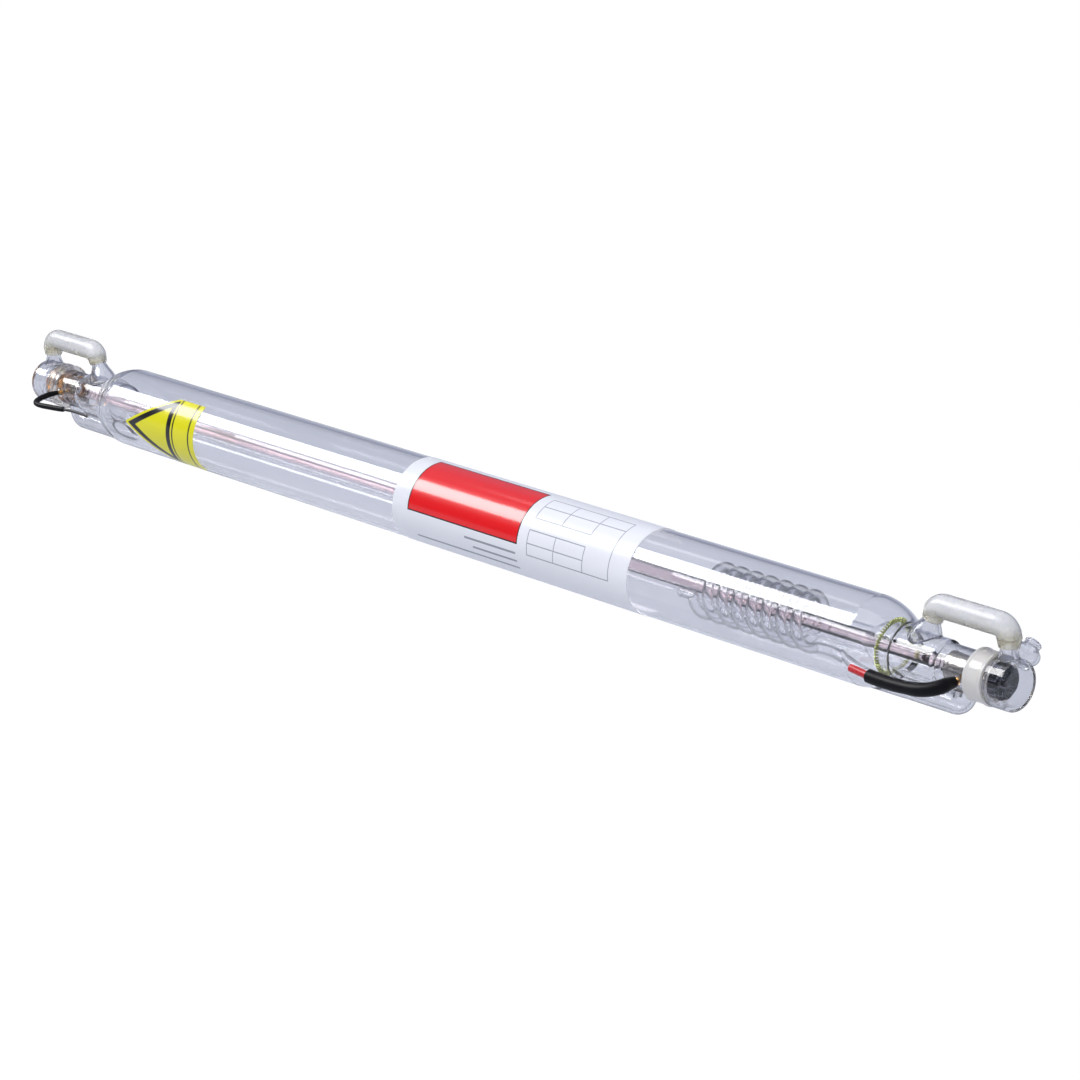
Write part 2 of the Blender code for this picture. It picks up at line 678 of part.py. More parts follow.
def water_port_cutters(end, side, cutters):
    """Cutters for the water ways through the neck and through the cap."""
    radius = WATER_PORT_DIAMETER / 2
    cone = cone_frame(side)
    neck = cylinder(
        end + "_neck_port_cutter",
        radius,
        cone @ Vector((0, 0, 0)),
        cone @ Vector((0, 0, NECK_PORT_CUT_LENGTH)),
        cutters,
        segments=SMALL_SEGMENTS,
    )
    cap_ports = []
    nipple = nipple_matrix(side * (END_X - CAP_NIPPLE_FROM_END), 0)
    free = nipple_matrix(side * (END_X - FREE_PORT_FROM_END), 0, turn_x=free_port_turn(side))
    for label, frame in (("bridge", nipple), ("free", free)):
        port = cylinder(
            end + "_" + label + "_cap_port_cutter",
            radius,
            frame @ Vector((0, 0, CAP_RADIUS - PORT_CUT_INWARD)),
            frame @ Vector((0, 0, CAP_RADIUS + PORT_CUT_OUTWARD)),
            cutters,
            segments=SMALL_SEGMENTS,
        )
        cap_ports.append(port)
    return neck, cap_ports


def build_bridge_hose(end, side, parts):
    cone = cone_frame(side)
    grip_start = cone @ Vector((0, 0, cone_tip_height() - HOSE_GRIP))
    tip = cone @ Vector((0, 0, cone_tip_height()))
    leg_x = END_X - CAP_NIPPLE_FROM_END
    first_centre = (abs(tip.x) + HOSE_BEND_RADIUS * math.cos(CONE_LEAN), HOSE_HEIGHT - HOSE_BEND_RADIUS)
    last_centre = (leg_x - HOSE_BEND_RADIUS, HOSE_HEIGHT - HOSE_BEND_RADIUS)
    route = [(abs(grip_start.x), grip_start.z)]
    route += arc_points(first_centre, HOSE_BEND_RADIUS, math.pi - CONE_LEAN, math.pi / 2, BEND_STEPS)
    route += arc_points(last_centre, HOSE_BEND_RADIUS, math.pi / 2, 0, BEND_STEPS)
    route += [(leg_x, cap_nipple_tip() - HOSE_GRIP)]
    points = [(side * x, 0, z) for x, z in route]
    wall = HOSE_DIAMETER / 2 - HOSE_BORE_RADIUS
    swept(end + "_bridge_hose", points, HOSE_DIAMETER / 2, parts, SILICONE, wall, 3)


def build_mirror(parts):
    start = SEAT_X + GAP
    radius = SEAT_FLANGE_DIAMETER / 2
    rear = (start, 0, 0), (start + REAR_MIRROR_THICKNESS, 0, 0)
    cylinder("rear_mirror", radius, *rear, parts, SILICON, LARGE_SEGMENTS)
    front = (-start, 0, 0), (-start - COUPLER_THICKNESS, 0, 0)
    cylinder("output_coupler", radius, *front, parts, SELENIDE, LARGE_SEGMENTS)


def build_electrode(name, side, pin_from_end, pin_drop, parts, cutters):
    """The hollow electrode, its pin, and the cutter for the seal in the chamber's wall."""
    start = PARTITION_X + ELECTRODE_FROM_PARTITION
    outer = ELECTRODE_DIAMETER / 2
    outline = [
        (start, outer),
        (start + ELECTRODE_LENGTH, outer),
        (start + ELECTRODE_LENGTH, outer - ELECTRODE_WALL),
        (start, outer - ELECTRODE_WALL),
    ]
    turned(name, mirrored(outline, side), parts, NICKEL)
    x = side * (END_X - pin_from_end)
    pin_start = -math.sqrt(outer**2 - pin_drop**2) - PIN_DIAMETER / 4 - GAP
    line = ((x, pin_start, -pin_drop), (x, -PIN_REACH, -pin_drop))
    cylinder(name + "_pin", PIN_DIAMETER / 2, *line, parts, BRASS, SMALL_SEGMENTS)
    hole = ((x, pin_start, -pin_drop), (x, -CHAMBER_RADIUS - PORT_CUT_OUTWARD, -pin_drop))
    return cylinder(
        name + "_seal_cutter", PIN_DIAMETER / 2 + GAP, *hole, cutters, segments=SMALL_SEGMENTS
    )


def smooth_route(chosen, side, spacing):
    """Points along a Catmull-Rom curve through the chosen ones."""
    knots = [Vector((side * (END_X - from_end * MM), y * MM, z * MM)) for from_end, y, z in chosen]
    knots = [knots[0] * 2 - knots[1]] + knots + [knots[-1] * 2 - knots[-2]]
    points = []
    for a, b, c, d in zip(knots, knots[1:], knots[2:], knots[3:]):
        steps = max(1, round((c - b).length / spacing))
        for i in range(steps):
            t = i / steps
            bend = (2 * a - 5 * b + 4 * c - d) * t * t + (3 * b - a - 3 * c + d) * t**3
            points.append((2 * b + (c - a) * t + bend) / 2)
    points.append(knots[-2])
    return points


def first_stretch(points, length):
    """The start of a route, cut off at a given length."""
    kept = [points[0]]
    left = length
    for a, b in zip(points, points[1:]):
        run = (b - a).length
        if run >= left:
            kept.append(a + (b - a) * (left / run))
            return kept
        kept.append(b)
        left -= run
    return kept


def build_lead(name, side, chosen, wire, shrink, shrink_length, look, parts):
    """A cut lead in a heat-shrink sleeve that also covers the pin's tip."""
    route = smooth_route(chosen, side, wire * ROUTE_STEP_DIAMETERS)
    cover = Vector((route[0].x, -CHAMBER_RADIUS - SHRINK_FROM_CHAMBER, route[0].z))
    sleeve_route = [cover] + first_stretch(route, shrink_length)
    wall = (shrink - wire) / 2 - GAP
    swept(name + "_heat_shrink", sleeve_route, shrink / 2, parts, BLACK_RUBBER, wall)
    swept(name + "_lead", route, wire / 2, parts, look)


def wrapped_label(name, start, length, half_span, centre, grid, parts, look):
    """A thin film on the envelope, whose half angle depends on the share of the length."""
    bm = bmesh.new()
    bmesh.ops.create_grid(bm, x_segments=grid[0], y_segments=grid[1], size=1.0)
    radius = ENVELOPE_RADIUS + GAP
    for vertex in bm.verts:
        share = (vertex.co.x + 1) / 2
        angle = centre + vertex.co.y * half_span(share)
        vertex.co = (start + length * share, -radius * math.cos(angle), radius * math.sin(angle))
    obj = add_object(name, mesh_from_bmesh(name, bm), parts, look)
    face = obj.data.polygons[0]
    outward = Vector((0, face.center.y, face.center.z)).dot(face.normal) > 0
    film = obj.modifiers.new("Film", "SOLIDIFY")
    film.thickness = LABEL_THICKNESS
    film.offset = 1 if outward else -1
    return obj


def build_labels(parts):
    wrapped_label(
        "white_label",
        WRAP_LABEL_START_X,
        WRAP_LABEL_LENGTH,
        lambda share: WRAP_LABEL_SPAN / 2,
        WRAP_LABEL_CENTRE,
        WHITE_LABEL_GRID,
        parts,
        WHITE_FILM,
    )
    length = YELLOW_TRIANGLE_LENGTH + YELLOW_BAND_LENGTH
    base = YELLOW_TRIANGLE_LENGTH / length
    wrapped_label(
        "yellow_label",
        YELLOW_LABEL_FROM_END - END_X,
        length,
        lambda share: YELLOW_LABEL_HALF_SPAN * min(1.0, share / base + YELLOW_TIP_SHARE),
        0.0,
        YELLOW_LABEL_GRID,
        parts,
        YELLOW_FILM,
    )


def build():
    clear_scene()
    parts = new_collection("co2_laser_tube")
    cutters = new_collection("cutters")
    seals = {
        FRONT: build_electrode(
            "cathode", FRONT, CATHODE_PIN_FROM_END, CATHODE_PIN_DROP, parts, cutters
        ),
        REAR: build_electrode("anode", REAR, ANODE_PIN_FROM_END, ANODE_PIN_DROP, parts, cutters),
    }
    neck_ports = []
    for side, end in ((FRONT, "front"), (REAR, "rear")):
        neck_port, cap_ports = water_port_cutters(end, side, cutters)
        neck_ports.append(neck_port)
        build_chamber(end, side, parts, cutters, seals[side])
        build_gas_arm(end, side, parts, cutters)
        build_cap(end, side, parts, cap_ports)
        build_sleeve(end, side, parts)
        build_cone_nipple(end, side, parts, cutters)
        build_cap_nipple(end, side, parts, cutters)
        build_free_port(end, side, parts, cutters)
        build_bridge_hose(end, side, parts)
    build_envelope(parts, cutters)
    build_jacket(parts, neck_ports)
    build_discharge_tube(parts)
    build_coil(parts)
    build_spring(parts)
    build_mirror(parts)
    build_lead(
        "anode",
        REAR,
        ANODE_ROUTE,
        ANODE_WIRE_DIAMETER,
        ANODE_SHRINK_DIAMETER,
        ANODE_SHRINK_LENGTH,
        RED_RUBBER,
        parts,
    )
    build_lead(
        "cathode",
        FRONT,
        CATHODE_ROUTE,
        CATHODE_WIRE_DIAMETER,
        CATHODE_SHRINK_DIAMETER,
        CATHODE_SHRINK_LENGTH,
        BLACK_RUBBER,
        parts,
    )
    build_labels(parts)


build()
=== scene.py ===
"""Looks of a sealed glass CO2 laser tube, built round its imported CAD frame.

The tube lies along X with the output end at -X. The water bridges stand up along +Z and the
electrode pins look toward -Y. Sizes are in millimetres times MM, places come from the frame.
"""

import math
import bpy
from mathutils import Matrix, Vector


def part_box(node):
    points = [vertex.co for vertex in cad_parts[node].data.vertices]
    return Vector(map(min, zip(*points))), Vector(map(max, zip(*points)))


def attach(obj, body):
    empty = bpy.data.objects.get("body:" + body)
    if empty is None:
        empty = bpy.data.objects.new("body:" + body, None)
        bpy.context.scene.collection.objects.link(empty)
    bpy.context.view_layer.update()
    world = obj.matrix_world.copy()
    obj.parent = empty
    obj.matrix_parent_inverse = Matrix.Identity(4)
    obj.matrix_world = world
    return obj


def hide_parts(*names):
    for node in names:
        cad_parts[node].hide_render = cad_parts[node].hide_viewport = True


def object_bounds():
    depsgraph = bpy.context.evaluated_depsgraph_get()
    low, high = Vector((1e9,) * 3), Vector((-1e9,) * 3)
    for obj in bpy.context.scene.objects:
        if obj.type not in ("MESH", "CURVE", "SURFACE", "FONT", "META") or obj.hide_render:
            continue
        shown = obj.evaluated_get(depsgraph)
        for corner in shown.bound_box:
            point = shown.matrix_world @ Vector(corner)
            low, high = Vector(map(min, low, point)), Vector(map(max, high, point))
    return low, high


bl_info = {
    "name": "Glass Laser Tube",
    "version": (1, 0, 0),
    "blender": (4, 5, 0),
    "location": "3D View > Sidebar > Laser Tube",
    "description": "Builds the glass, silicone, metal and film surfaces of a sealed laser tube",
    "category": "Object",
}

import bmesh
import bpy
from mathutils import Matrix, Vector

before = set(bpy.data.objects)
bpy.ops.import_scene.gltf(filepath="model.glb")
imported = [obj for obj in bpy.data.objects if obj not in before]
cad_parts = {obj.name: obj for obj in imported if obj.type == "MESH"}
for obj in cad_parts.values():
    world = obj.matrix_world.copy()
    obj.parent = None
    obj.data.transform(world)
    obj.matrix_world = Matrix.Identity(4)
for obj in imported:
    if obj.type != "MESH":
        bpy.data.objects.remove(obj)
CAD_LOW, CAD_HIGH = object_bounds()

MM = 0.001
FRONT = -1
REAR = 1
ENDS = ((FRONT, "front"), (REAR, "rear"))
ALONG_X = Matrix.Rotation(math.pi / 2, 4, "Y")

# Places along the tube, read from the frame
END_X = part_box("rear_water_cap")[1].x
SKIRT_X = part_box("rear_water_cap")[0].x
LIP_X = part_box("gas_envelope")[1].x
PARTITION_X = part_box("water_jacket")[1].x
SEAT_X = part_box("rear_chamber")[1].x
BORE_END_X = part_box("discharge_tube")[1].x
COIL_START_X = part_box("gas_return_coil")[0].x + 10 * MM
COIL_END_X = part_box("gas_return_coil")[1].x
SPRING_X = (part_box("support_spring")[0].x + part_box("support_spring")[1].x) / 2
ARM_RISER_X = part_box("rear_gas_arm")[1].x - 6 * MM
CONE_FOOT_X = END_X - 65.5 * MM
CAP_NIPPLE_X = END_X - 8 * MM
FREE_PORT_X = END_X - 8.5 * MM

# Radii and walls of the glass
NECK_R = 13 * MM
NECK_WALL = 1.5 * MM
JACKET_R = 7.5 * MM
JACKET_WALL = 1.2 * MM
BORE_R = 4 * MM
BORE_WALL = 1.2 * MM
CHAMBER_R = 11.5 * MM
CHAMBER_WALL = 1.5 * MM
FLANGE_R = 9.5 * MM
SEAT_TUBE_R = 8 * MM
CAP_R = 14 * MM
CAP_WALL = 1.6 * MM
CAP_CORNER = 4.5 * MM
BEAM_TUBE_R = 8.7 * MM
BEAM_TUBE_WALL = 1.2 * MM
COIL_R = 14 * MM
COIL_TUBE_R = 3 * MM
COIL_WALL = 0.9 * MM
COIL_PITCH = 11 * MM
COIL_TURNS = 7.25
ARM_R = 6 * MM
ARM_WALL = 1.9 * MM
ARM_DROP = 19.5 * MM
NIPPLE_R = 4.5 * MM
NIPPLE_WALL = 1.5 * MM
CONE_FOOT_R = 9.3 * MM
CONE_LEAN = math.radians(22)
SHOULDER_LENGTH = 22 * MM
SHOULDER_POWER = 1.5
FLARE_LENGTH = 13 * MM
NECK_INSIDE = 10 * MM
FUSED = 0.05 * MM
GLASS_IOR = 1.474

# Silicone
SLEEVE_R = 14 * MM
SLEEVE_BEAD_R = 14.5 * MM
HOSE_BEND = 7 * MM
HOSE_GRIP = 3.8 * MM

# Mesh steps
RINGS = 128
FINE_RINGS = 64
COIL_STEPS = 40

# Leads: the route's points from part.py, in metres
ANODE_POINTS = [
    (0.3920, -0.0187, -0.0030),
    (0.3914, -0.0215, -0.0036),
    (0.3860, -0.0252, -0.0056),
    (0.3780, -0.0270, -0.0070),
    (0.3640, -0.0272, -0.0080),
    (0.3500, -0.0274, -0.0078),
    (0.3350, -0.0282, -0.0060),
]
CATHODE_POINTS = [
    (-0.3960, -0.0186, -0.0015),
    (-0.3962, -0.0250, -0.0026),
    (-0.3950, -0.0306, -0.0042),
    (-0.3895, -0.0324, -0.0050),
    (-0.3780, -0.0296, -0.0052),
    (-0.3620, -0.0252, -0.0052),
    (-0.3495, -0.0220, -0.0068),
]


def linear(hex_colour):
    """Linear red, green and blue of an sRGB hex colour."""
    parts = [int(hex_colour[i : i + 2], 16) / 255 for i in (1, 3, 5)]
    return tuple(p / 12.92 if p <= 0.04045 else ((p + 0.055) / 1.055) ** 2.4 for p in parts)


def add_node(tree, kind, inputs=None, **settings):
    """Add a node with its settings. An input is a value, or a node and its output's name."""
    made = tree.nodes.new(kind)
    for name, value in settings.items():
        setattr(made, name, value)
    for name, value in (inputs or {}).items():
        socket = made.inputs[name]
        if isinstance(value, tuple) and isinstance(value[0], bpy.types.Node):
            tree.links.new(value[0].outputs[value[1]], socket)
        else:
            socket.default_value = value
    return made


def new_material(name):
    """An empty node material and its output node."""
    material = bpy.data.materials.new(name)
    material.use_nodes = True
    tree = material.node_tree
    tree.nodes.clear()
    return material, tree, tree.nodes.new("ShaderNodeOutputMaterial")


def to_output(tree, output, shader):
    tree.links.new(shader.outputs[0], output.inputs["Surface"])


def stretched(tree, scale):
    """Object coordinates, stretched so that a pattern can run along the tube."""
    coords = add_node(tree, "ShaderNodeTexCoord")
    return add_node(tree, "ShaderNodeMapping", {"Vector": (coords, "Object"), "Scale": scale})


def glass_material(name, tint, ior, ripple, depth, along=1.0, rim=(0.6, 0.88)):
    """Clear glass with waves of a size and a depth. rim: the darkest painted shade of its edges, and
    where that begins.
    """
    material, tree, output = new_material(name)
    place = stretched(tree, (along, 1.0, 1.0))
    waves = add_node(
        tree,
        "ShaderNodeTexNoise",
        {"Vector": (place, "Vector"), "Scale": 1 / ripple, "Detail": 1.5, "Roughness": 0.4},
    )
    bump = add_node(
        tree, "ShaderNodeBump", {"Height": (waves, 0), "Strength": 1.0, "Distance": depth}
    )
    # Painted shade: the glass's colour darkens toward surfaces seen edge on, which draws dark outlines
    shade, begin = rim
    full = 0.7 + 0.3 * begin
    slope = add_node(tree, "ShaderNodeLayerWeight", {"Blend": 0.5})
    edge = add_node(
        tree, "ShaderNodeMapRange", {"Value": (slope, "Facing"), "From Min": begin, "From Max": full}
    )
    colour = add_node(
        tree,
        "ShaderNodeMix",
        {0: (edge, 0), 6: (*tint, 1.0), 7: (*(shade * c for c in tint), 1.0)},
        data_type="RGBA",
    )
    body = add_node(
        tree,
        "ShaderNodeBsdfPrincipled",
        {
            "Base Color": (colour, 2),
            "Roughness": 0.0,
            "IOR": ior,
            "Transmission Weight": 1.0,
            "Normal": (bump, 0),
        },
    )
    lamps = add_node(tree, "ShaderNodeBsdfTransparent", {"Color": (*tint, 1.0)})
    path = add_node(tree, "ShaderNodeLightPath")
    mix = add_node(
        tree, "ShaderNodeMixShader", {0: (path, "Is Shadow Ray"), 1: (body, 0), 2: (lamps, 0)}
    )
    to_output(tree, output, mix)
    return material


def surface_material(
    name, colours, roughness, grain, depth, along=1.0, spread=0.08, **inputs
):
    """An opaque finish: two colours and a roughness varied by a grain of a real size."""
    material, tree, output = new_material(name)
    place = stretched(tree, (along, 1.0, 1.0))
    noise = add_node(
        tree,
        "ShaderNodeTexNoise",
        {"Vector": (place, "Vector"), "Scale": 1 / grain, "Detail": 4.0, "Roughness": 0.6},
    )
    ramp = add_node(
        tree,
        "ShaderNodeMix",
        {0: (noise, 0), 6: (*colours[0], 1.0), 7: (*colours[1], 1.0)},
        data_type="RGBA",
    )
    gloss = add_node(
        tree,
        "ShaderNodeMapRange",
        {"Value": (noise, 0), "To Min": roughness - spread, "To Max": roughness + spread},
    )
    bump = add_node(
        tree, "ShaderNodeBump", {"Height": (noise, 0), "Strength": 1.0, "Distance": depth}
    )
    named = {}
    for key, value in inputs.items():
        named[key.replace("_", " ").title().replace("Ior", "IOR")] = value
    body = add_node(
        tree,
        "ShaderNodeBsdfPrincipled",
        {
            "Base Color": (ramp, 2),
            "Roughness": (gloss, 0),
            "Normal": (bump, 0),
            **named,
        },
    )
    to_output(tree, output, body)
    return material


def rounded(points, radius, steps=4):
    """Round the corners of an outline, and keep its two ends."""
    result = [Vector(points[0])]
    for before, corner, after in zip(points, points[1:], points[2:]):
        corner = Vector(corner)
        back = Vector(before) - corner
        onward = Vector(after) - corner
        reach = min(radius, back.length * 0.48, onward.length * 0.48)
        start = corner + back.normalized() * reach
        end = corner + onward.normalized() * reach
        for i in range(steps + 1):
            t = i / steps
            result.append(start * (1 - t) ** 2 + corner * (2 * t * (1 - t)) + end * t * t)
    result.append(Vector(points[-1]))
    return result


def rounded_loop(points, radius, steps=4):
    """Round every corner of a closed outline."""
    return rounded([points[-1], *points, points[0]], radius, steps)[1:-1]


def flipped(outline, side):
    return [(side * axial, radius) for axial, radius in outline]


def lathe(bm, outline, place=ALONG_X, segments=RINGS, closed=True):
    """Revolve (axial, radius) points about the local Z axis, and return the rings."""
    rings = []
    for axial, radius in outline:
        if radius < 1e-7:
            rings.append([bm.verts.new(place @ Vector((0, 0, axial)))])
            continue
        ring = []
        for k in range(segments):
            angle = 2 * math.pi * k / segments
            point = Vector((radius * math.cos(angle), radius * math.sin(angle), axial))
            ring.append(bm.verts.new(place @ point))
        rings.append(ring)
    join_rings(bm, rings, segments, closed)
    return rings


def join_rings(bm, rings, segments, closed):
    pairs = list(zip(rings, rings[1:]))
    if closed:
        pairs.append((rings[-1], rings[0]))
    for first, second in pairs:
        for k in range(segments):
            after = (k + 1) % segments
            corners = []
            for ring, i in ((first, k), (first, after), (second, after), (second, k)):
                corner = ring[i % len(ring)]
                if corner not in corners:
                    corners.append(corner)
            if len(corners) > 2:
                bm.faces.new(corners)


def route_rings(bm, path, radii, segments, first_side=None):
    """Rings of vertices square to a path, turned as little as possible from one to the next."""
    rings = []
    across = first_side
    for i, point in enumerate(path):
        run = (path[min(i + 1, len(path) - 1)] - path[max(i - 1, 0)]).normalized()
        if across is None:
            across = run.orthogonal().normalized()
        across = (across - run * across.dot(run)).normalized()
        up = run.cross(across)
        ring = []
        for k in range(segments):
            angle = 2 * math.pi * k / segments
            offset = across * math.cos(angle) + up * math.sin(angle)
            ring.append(bm.verts.new(point + offset * radii[i]))
        rings.append(ring)
    return rings


def tube(bm, path, radii, wall, segments=FINE_RINGS, first_side=None):
    """An open tube with a wall along a path, and its outer rings."""
    outer = route_rings(bm, path, radii, segments, first_side)
    inner = route_rings(bm, path, [r - wall for r in radii], segments, first_side)
    join_rings(bm, outer + inner[::-1], segments, True)
    return outer, inner


def bar(bm, path, radii, segments=24):
    """A solid round bar along a path."""
    rings = route_rings(bm, path, radii, segments)
    join_rings(bm, rings, segments, False)
    bm.faces.new(rings[0])
    bm.faces.new(rings[-1])
    return rings


def smooth_route(knots, spacing):
    """Points along a Catmull-Rom curve through the knots."""
    knots = [Vector(p) for p in knots]
    knots = [knots[0] * 2 - knots[1]] + knots + [knots[-1] * 2 - knots[-2]]
    points = []
    for a, b, c, d in zip(knots, knots[1:], knots[2:], knots[3:]):
        steps = max(1, round((c - b).length / spacing))
        for i in range(steps):
            t = i / steps
            bend = (2 * a - 5 * b + 4 * c - d) * t * t + (3 * b - a - 3 * c + d) * t**3
            points.append((2 * b + (c - a) * t + bend) / 2)
    points.append(knots[-2])
    return points


def seat_on(verts, direction, radius_at):
    """Slide the vertices inside a body turned about X out along a direction to its surface."""

    def outside(point):
        return math.hypot(point.y, point.z) > radius_at(abs(point.x)) - FUSED

    for vert in verts:
        if outside(vert.co):
            continue
        low, high = 0.0, 40 * MM
        for _ in range(24):
            middle = (low + high) / 2
            if outside(vert.co + direction * middle):
                high = middle
            else:
                low = middle
        vert.co += direction * high


def piece(name, bm, material, slot, *nodes):
    """Make an object of the mesh, which rides on the part and stands for CAD nodes."""
    bmesh.ops.recalc_face_normals(bm, faces=bm.faces)
    mesh = bpy.data.meshes.new(name)
    bm.to_mesh(mesh)
    bm.free()
    mesh.polygons.foreach_set("use_smooth", [True] * len(mesh.polygons))
    mesh.set_sharp_from_angle(angle=math.radians(40))
    mesh.materials.append(material)
    obj = bpy.data.objects.new(name, mesh)
    bpy.context.scene.collection.objects.link(obj)
    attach(obj, "root")
    if nodes:
        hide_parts(*nodes)
    return obj


class TubeGlassSettings(bpy.types.PropertyGroup):
    envelope_diameter: bpy.props.FloatProperty(
        name="Envelope Diameter",
        description="Outer diameter of the gas envelope",
        default=50 * MM,
        unit="LENGTH",
    )
    envelope_wall: bpy.props.FloatProperty(
        name="Envelope Wall",
        description="Thickness of the gas envelope's glass",
        default=2 * MM,
        unit="LENGTH",
    )
    tint: bpy.props.FloatVectorProperty(
        name="Glass Tint",
        description="Colour that the drawn glass gives to what is seen through it",
        default=linear("#FDFDFE"),
        size=3,
        subtype="COLOR",
    )
    bore_tint: bpy.props.FloatVectorProperty(
        name="Bore Tube Tint",
        description="Colour of the discharge tube's glass",
        default=linear("#FFF6F6"),
        size=3,
        subtype="COLOR",
    )


class TubeRubberSettings(bpy.types.PropertyGroup):
    hose_diameter: bpy.props.FloatProperty(
        name="Hose Diameter",
        description="Outer diameter of the silicone bridge hoses",
        default=13.2 * MM,
        unit="LENGTH",
    )
    hose_height: bpy.props.FloatProperty(
        name="Hose Height",
        description="Height of the bridge hoses' centre line above the tube's axis",
        default=30.2 * MM,
        unit="LENGTH",
    )
    silicone: bpy.props.FloatVectorProperty(
        name="Hose Silicone",
        description="Colour of the milky bridge hoses",
        default=linear("#FFFDF1"),
        size=3,
        subtype="COLOR",
    )
    sleeve: bpy.props.FloatVectorProperty(
        name="Sleeve Silicone",
        description="Colour of the moulded sleeves",
        default=linear("#F6F3ED"),
        size=3,
        subtype="COLOR",
    )


class TubeLeadSettings(bpy.types.PropertyGroup):
    anode_wire: bpy.props.FloatVectorProperty(
        name="Anode Wire",
        description="Colour of the high-voltage lead's silicone rubber",
        default=linear("#CC2B30"),
        size=3,
        subtype="COLOR",
    )
    heat_shrink: bpy.props.FloatVectorProperty(
        name="Heat Shrink",
        description="Colour of the heat-shrink sleeves",
        default=linear("#0C0C0E"),
        size=3,
        subtype="COLOR",
    )


class TubeLabelSettings(bpy.types.PropertyGroup):
    white: bpy.props.FloatVectorProperty(
        name="White Film",
        description="Colour of the wrapped film",
        default=linear("#EFF0F3"),
        size=3,
        subtype="COLOR",
    )
    red: bpy.props.FloatVectorProperty(
        name="Red Field",
        description="Colour of the printed field",
        default=linear("#EC0E13"),
        size=3,
        subtype="COLOR",
    )
    yellow: bpy.props.FloatVectorProperty(
        name="Yellow Film",
        description="Colour of the front label",
        default=linear("#EDE61C"),
        size=3,
        subtype="COLOR",
    )


class TubeStageSettings(bpy.types.PropertyGroup):
    lens: bpy.props.FloatProperty(
        name="Lens",
        description="Focal length on a 36 mm sensor, in millimetres",
        default=118.53,
    )
    sky: bpy.props.FloatVectorProperty(
        name="Studio Walls",
        description="Colour that the glass mirrors away from the lamps",
        default=linear("#A9AEC4"),
        size=3,
        subtype="COLOR",
    )


class TUBE_OT_stage(bpy.types.Operator):
    """Set the camera, the floor and the softboxes"""

    bl_idname = "tube.stage"
    bl_label = "Build Stage"

    def execute(self, context):
        settings = context.scene.tube_stage
        add_camera(context, settings.lens)
        add_floor()
        add_softboxes()
        set_world(context, settings.sky)
        return {"FINISHED"}


CAMERA_PLACE = (1.5132, -1.3256, 0.5940)
CAMERA_AIM = (0.0671, -0.0011, -0.0025)
FLOOR_SIZE = 60.0


def add_camera(context, lens):
    data = bpy.data.cameras.new("camera")
    data.lens = lens
    data.sensor_width = 36
    data.clip_end = 100
    camera = bpy.data.objects.new("camera", data)
    camera.location = CAMERA_PLACE
    aim = Vector(CAMERA_AIM) - Vector(CAMERA_PLACE)
    camera.rotation_mode = "QUATERNION"
    camera.rotation_quaternion = aim.to_track_quat("-Z", "Y")
    context.scene.collection.objects.link(camera)
    context.scene.camera = camera
    context.scene.view_settings.view_transform = "Standard"
    cycles = context.scene.cycles
    cycles.max_bounces = 40
    cycles.transmission_bounces = 36
    cycles.transparent_max_bounces = 40
    cycles.glossy_bounces = 12
    cycles.diffuse_bounces = 3
    cycles.sample_clamp_indirect = 6.0


def add_sheet(name, colour, glow, level):
    """A large level sheet of matt paper with a glow of its own, as on a light table."""
    material, tree, output = new_material(name)
    body = add_node(
        tree,
        "ShaderNodeBsdfPrincipled",
        {
            "Base Color": (*colour, 1.0),
            "Roughness": 0.9,
            "Specular IOR Level": 0.0,
            "Emission Color": (*glow, 1.0),
            "Emission Strength": 1.0,
        },
    )
    to_output(tree, output, body)
    half = FLOOR_SIZE / 2
    mesh = bpy.data.meshes.new(name)
    corners = [(-half, -half, level), (half, -half, level), (half, half, level), (-half, half, level)]
    mesh.from_pydata(corners, [], [(0, 1, 2, 3)])
    mesh.materials.append(material)
    sheet = bpy.data.objects.new(name, mesh)
    sheet.visible_shadow = False
    bpy.context.scene.collection.objects.link(sheet)
    return sheet


def add_floor():
    """White paper fills the background. The glass looks at a grey card instead, which draws it."""
    level = CAD_LOW.z - 1.5 * MM
    paper = add_sheet("white_paper", (0.13, 0.13, 0.13), (0.935, 0.935, 0.935), level)
    paper.visible_diffuse = False
    paper.visible_glossy = False
    paper.visible_transmission = False
    card = add_sheet("grey_card", (0.12, 0.12, 0.13), (0.46, 0.485, 0.56), level)
    card.visible_camera = False


def add_softbox(name, place, aim, size, radiance):
    """A rectangular softbox. Its power is worked out from the brightness of its face."""
    data = bpy.data.lights.new(name, "AREA")
    data.shape = "RECTANGLE"
    data.size, data.size_y = size
    data.energy = radiance * math.pi * size[0] * size[1]
    lamp = bpy.data.objects.new(name, data)
    lamp.location = place
    back = (Vector(place) - Vector(aim)).normalized()
    side = Vector((1, 0, 0))
    side = (side - back * side.dot(back)).normalized()
    up = back.cross(side)
    lamp.matrix_world = Matrix.Translation(place) @ Matrix((side, up, back)).transposed().to_4x4()
    bpy.context.scene.collection.objects.link(lamp)
    return lamp


def add_softboxes():
    """A wide softbox and a low one light the colours. Two others draw streaks on the glass."""
    fill = add_softbox("wide_softbox", (0.1, -0.90, 2.01), (0.1, 0, 0), (2.8, 2.2), 2.35)
    fill.visible_glossy = False
    low = add_softbox("low_softbox", (0.5, -2.1, 0.25), (0.1, 0, 0), (2.2, 1.0), 1.15)
    low.visible_glossy = False
    strip = add_softbox("front_strip", (-1.65, -0.902, 1.322), (-1.65, 0, 0), (2.6, 0.89), 11.0)
    strip.visible_diffuse = False
    line = add_softbox("top_strip", (-1.1, 0.209, 1.485), (-1.1, 0, 0), (0.7, 0.24), 1.6)
    line.visible_diffuse = False


